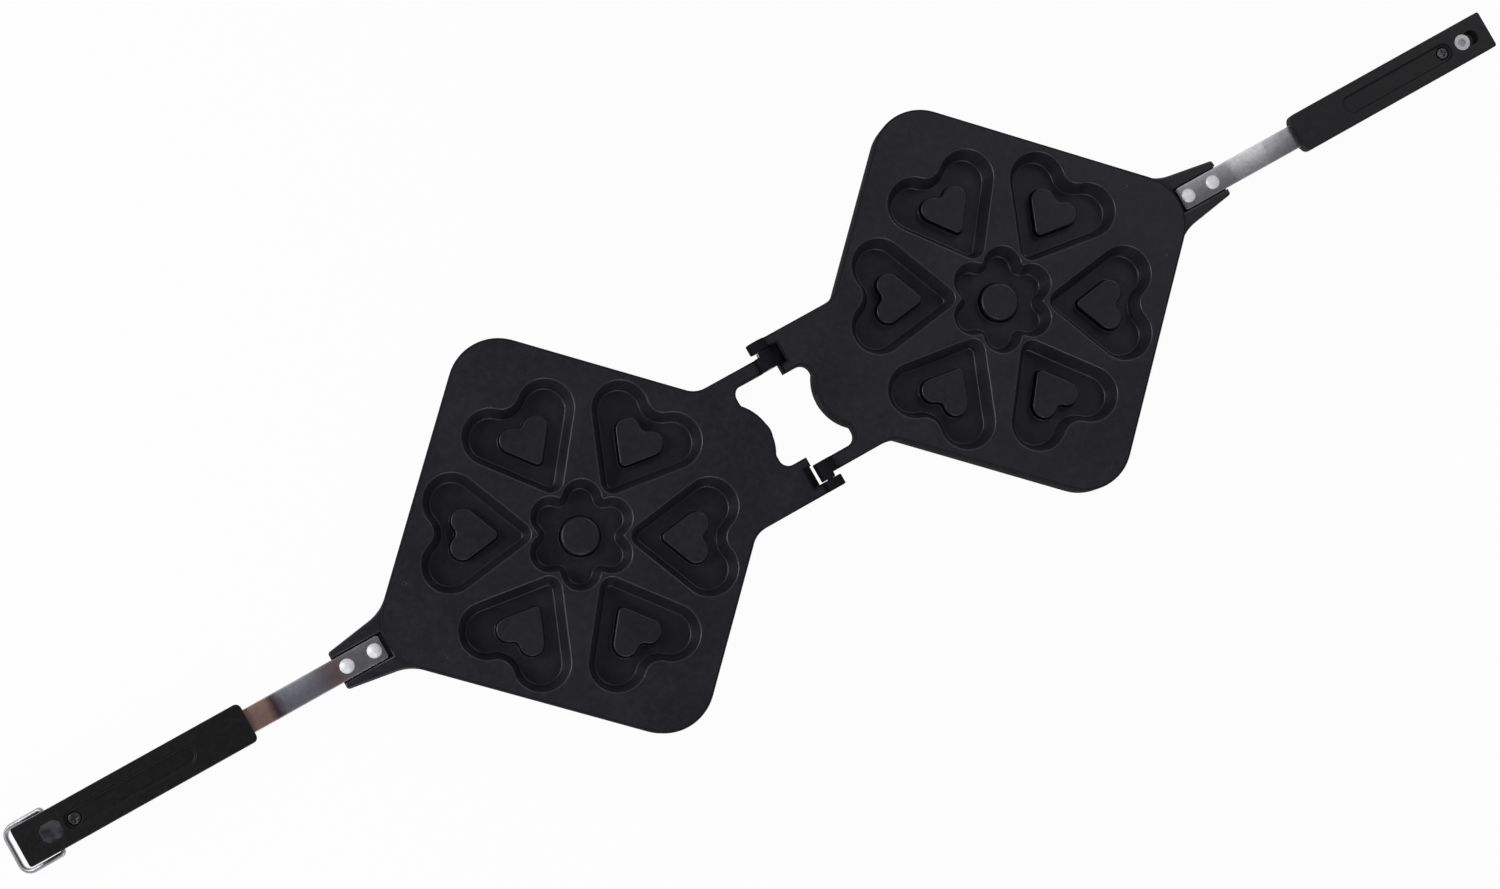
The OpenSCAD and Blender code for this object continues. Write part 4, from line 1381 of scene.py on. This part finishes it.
def grip_finish(name, gloss, colour, pale):
    """Black moulded plastic with a mottle, wiping marks and painted shade on steep faces."""
    plastic = Finish(name, Specular_IOR_Level=gloss)
    mottle = plastic.noise(2.2, detail=4, rough=0.6)
    wiped = plastic.noise(0.5, (0.08, 1, 1), detail=3).step(0.45, 0.8)
    steep = plastic.facing("Z").step(0.97, 0.7)
    body = plastic.mix(colour, pale, mottle.step(0.35, 0.7) * 0.6 + wiped * 0.2)
    plastic.give({
        # Painted shade: steep faces, such as the walls of the recess, turn darker.
        "Base Color": plastic.mix(body, PLASTIC_PAINTED_SHADE, steep * 0.8),
        "Roughness": 0.36 + mottle * 0.14 + wiped * 0.05 + steep * 0.35,
        "Normal": plastic.bump(mottle, 0.03, 0.35),
    })
    return plastic


# The left grip's blacks are the right's painted darker, as shade.
GRIP_BLACKS_LIT_AND_SHADED = {"left": (0.28, (0.0036, 0.0038, 0.0040), (0.0076, 0.0078, 0.0080)),
               "right": (0.30, (0.0080, 0.0076, 0.0092), (0.0150, 0.0142, 0.0165))}
for side in SIDES:
    plastic = grip_finish(f"{side}_grip_plastic", *GRIP_BLACKS_LIT_AND_SHADED[side])
    make(grip(side), f"{side}_half_grip", side, f"{side}_grip", "grip_moulding", plastic)

# %% [markdown]
# Screws and latch
#
# The grip screw sits deep in its seat, so only its head shows: a small dark pan head with
# a cross in it. The cross is cut by giving the head's prism a second outline, which rounds
# the edges of the cross with the same recipe. The bail wire, the magnet and the striker
# disc have the right shape in their solids already, so they stay and only get a finish:
# the wire is a tarnished plating, the magnet is blotched, and the disc is bright with a
# darker round in its middle.

# %% Screws
SCREW_HEAD_R = 2.7
SCREW_HEAD_T = 0.8
SCREW_TOP = -1.2
CROSS_REACH = 1.8
CROSS_HALF = 0.4
SCREW_EDGE = 0.25
SHANK_R = 1.5
SHANK_L = 4.8


def screw():
    """A pan head with a cross recess on a plain shank."""
    sizes = {"along": (CROSS_REACH, CROSS_HALF), "across": (CROSS_HALF, CROSS_REACH)}
    cross = {name: block(SCREW_X - x, SCREW_X + x, -y, y) for name, (x, y) in sizes.items()}
    recess = outlines(cross, bool)[0][0][::-1]
    rim = circle((SCREW_X, 0), SCREW_HEAD_R, 40)
    shank = circle((SCREW_X, 0), SHANK_R, 24)
    shape = Shape().prism([rim, recess], SCREW_TOP - SCREW_HEAD_T, SCREW_TOP, SCREW_EDGE)
    shape.take(Shape().prism([inset(rim, 0.02)], -SEAT_T, SCREW_TOP - SCREW_HEAD_T + 0.05, 0.1))
    shape.take(Shape().prism([shank], -SEAT_T - SHANK_L, 0.1 - SEAT_T, 0.2))
    shape.mesh.transform(on_grip)
    return shape


screw_steel = steel("screw_steel", (0.17, 0.17, 0.18), (0.02, 0.02, 0.022), 0.26, grain=0.8)
for side in SIDES:
    make(screw(), f"{side}_pan_screw", side, f"{side}_grip_screw", "screw_steel", screw_steel)

# %% Bail, magnet and striker
DISC_BRIGHT = (0.62, 0.62, 0.64)
DISC_DARK = (0.33, 0.33, 0.35)
DARK_R = (0.0024, 0.0019)

keep("latch_bail", steel("bail_plating", (0.50, 0.50, 0.52), (0.26, 0.26, 0.28), 0.36,
                         grain=1.2, shade=0.7))
keep("latch_magnet", steel("magnet_skin", (0.13, 0.13, 0.14), (0.025, 0.025, 0.03), 0.45,
                           grain=1.5, shade=1.0))

striker = steel("striker_plating", (0.80, 0.80, 0.82), (0.62, 0.62, 0.64), 0.34)
middle = on_grip @ Vector((PIVOT_X, 0, -FLUSH)) * MM
from_middle = striker.add("ShaderNodeVectorMath", {"operation": "DISTANCE"},
                          {0: striker.place(), 1: middle}, "Value")
wear = striker.noise(1.2, detail=3).step(0.3, 0.7)
disc_colour = striker.mix(DISC_BRIGHT, DISC_DARK, from_middle.step(*DARK_R) * 0.75 + wear * 0.2)
keep("striker_disc", striker.give({"Base Color": disc_colour}))
print("striker disc: dark round", round(DARK_R[1] * 2 / MM, 1), "mm across")
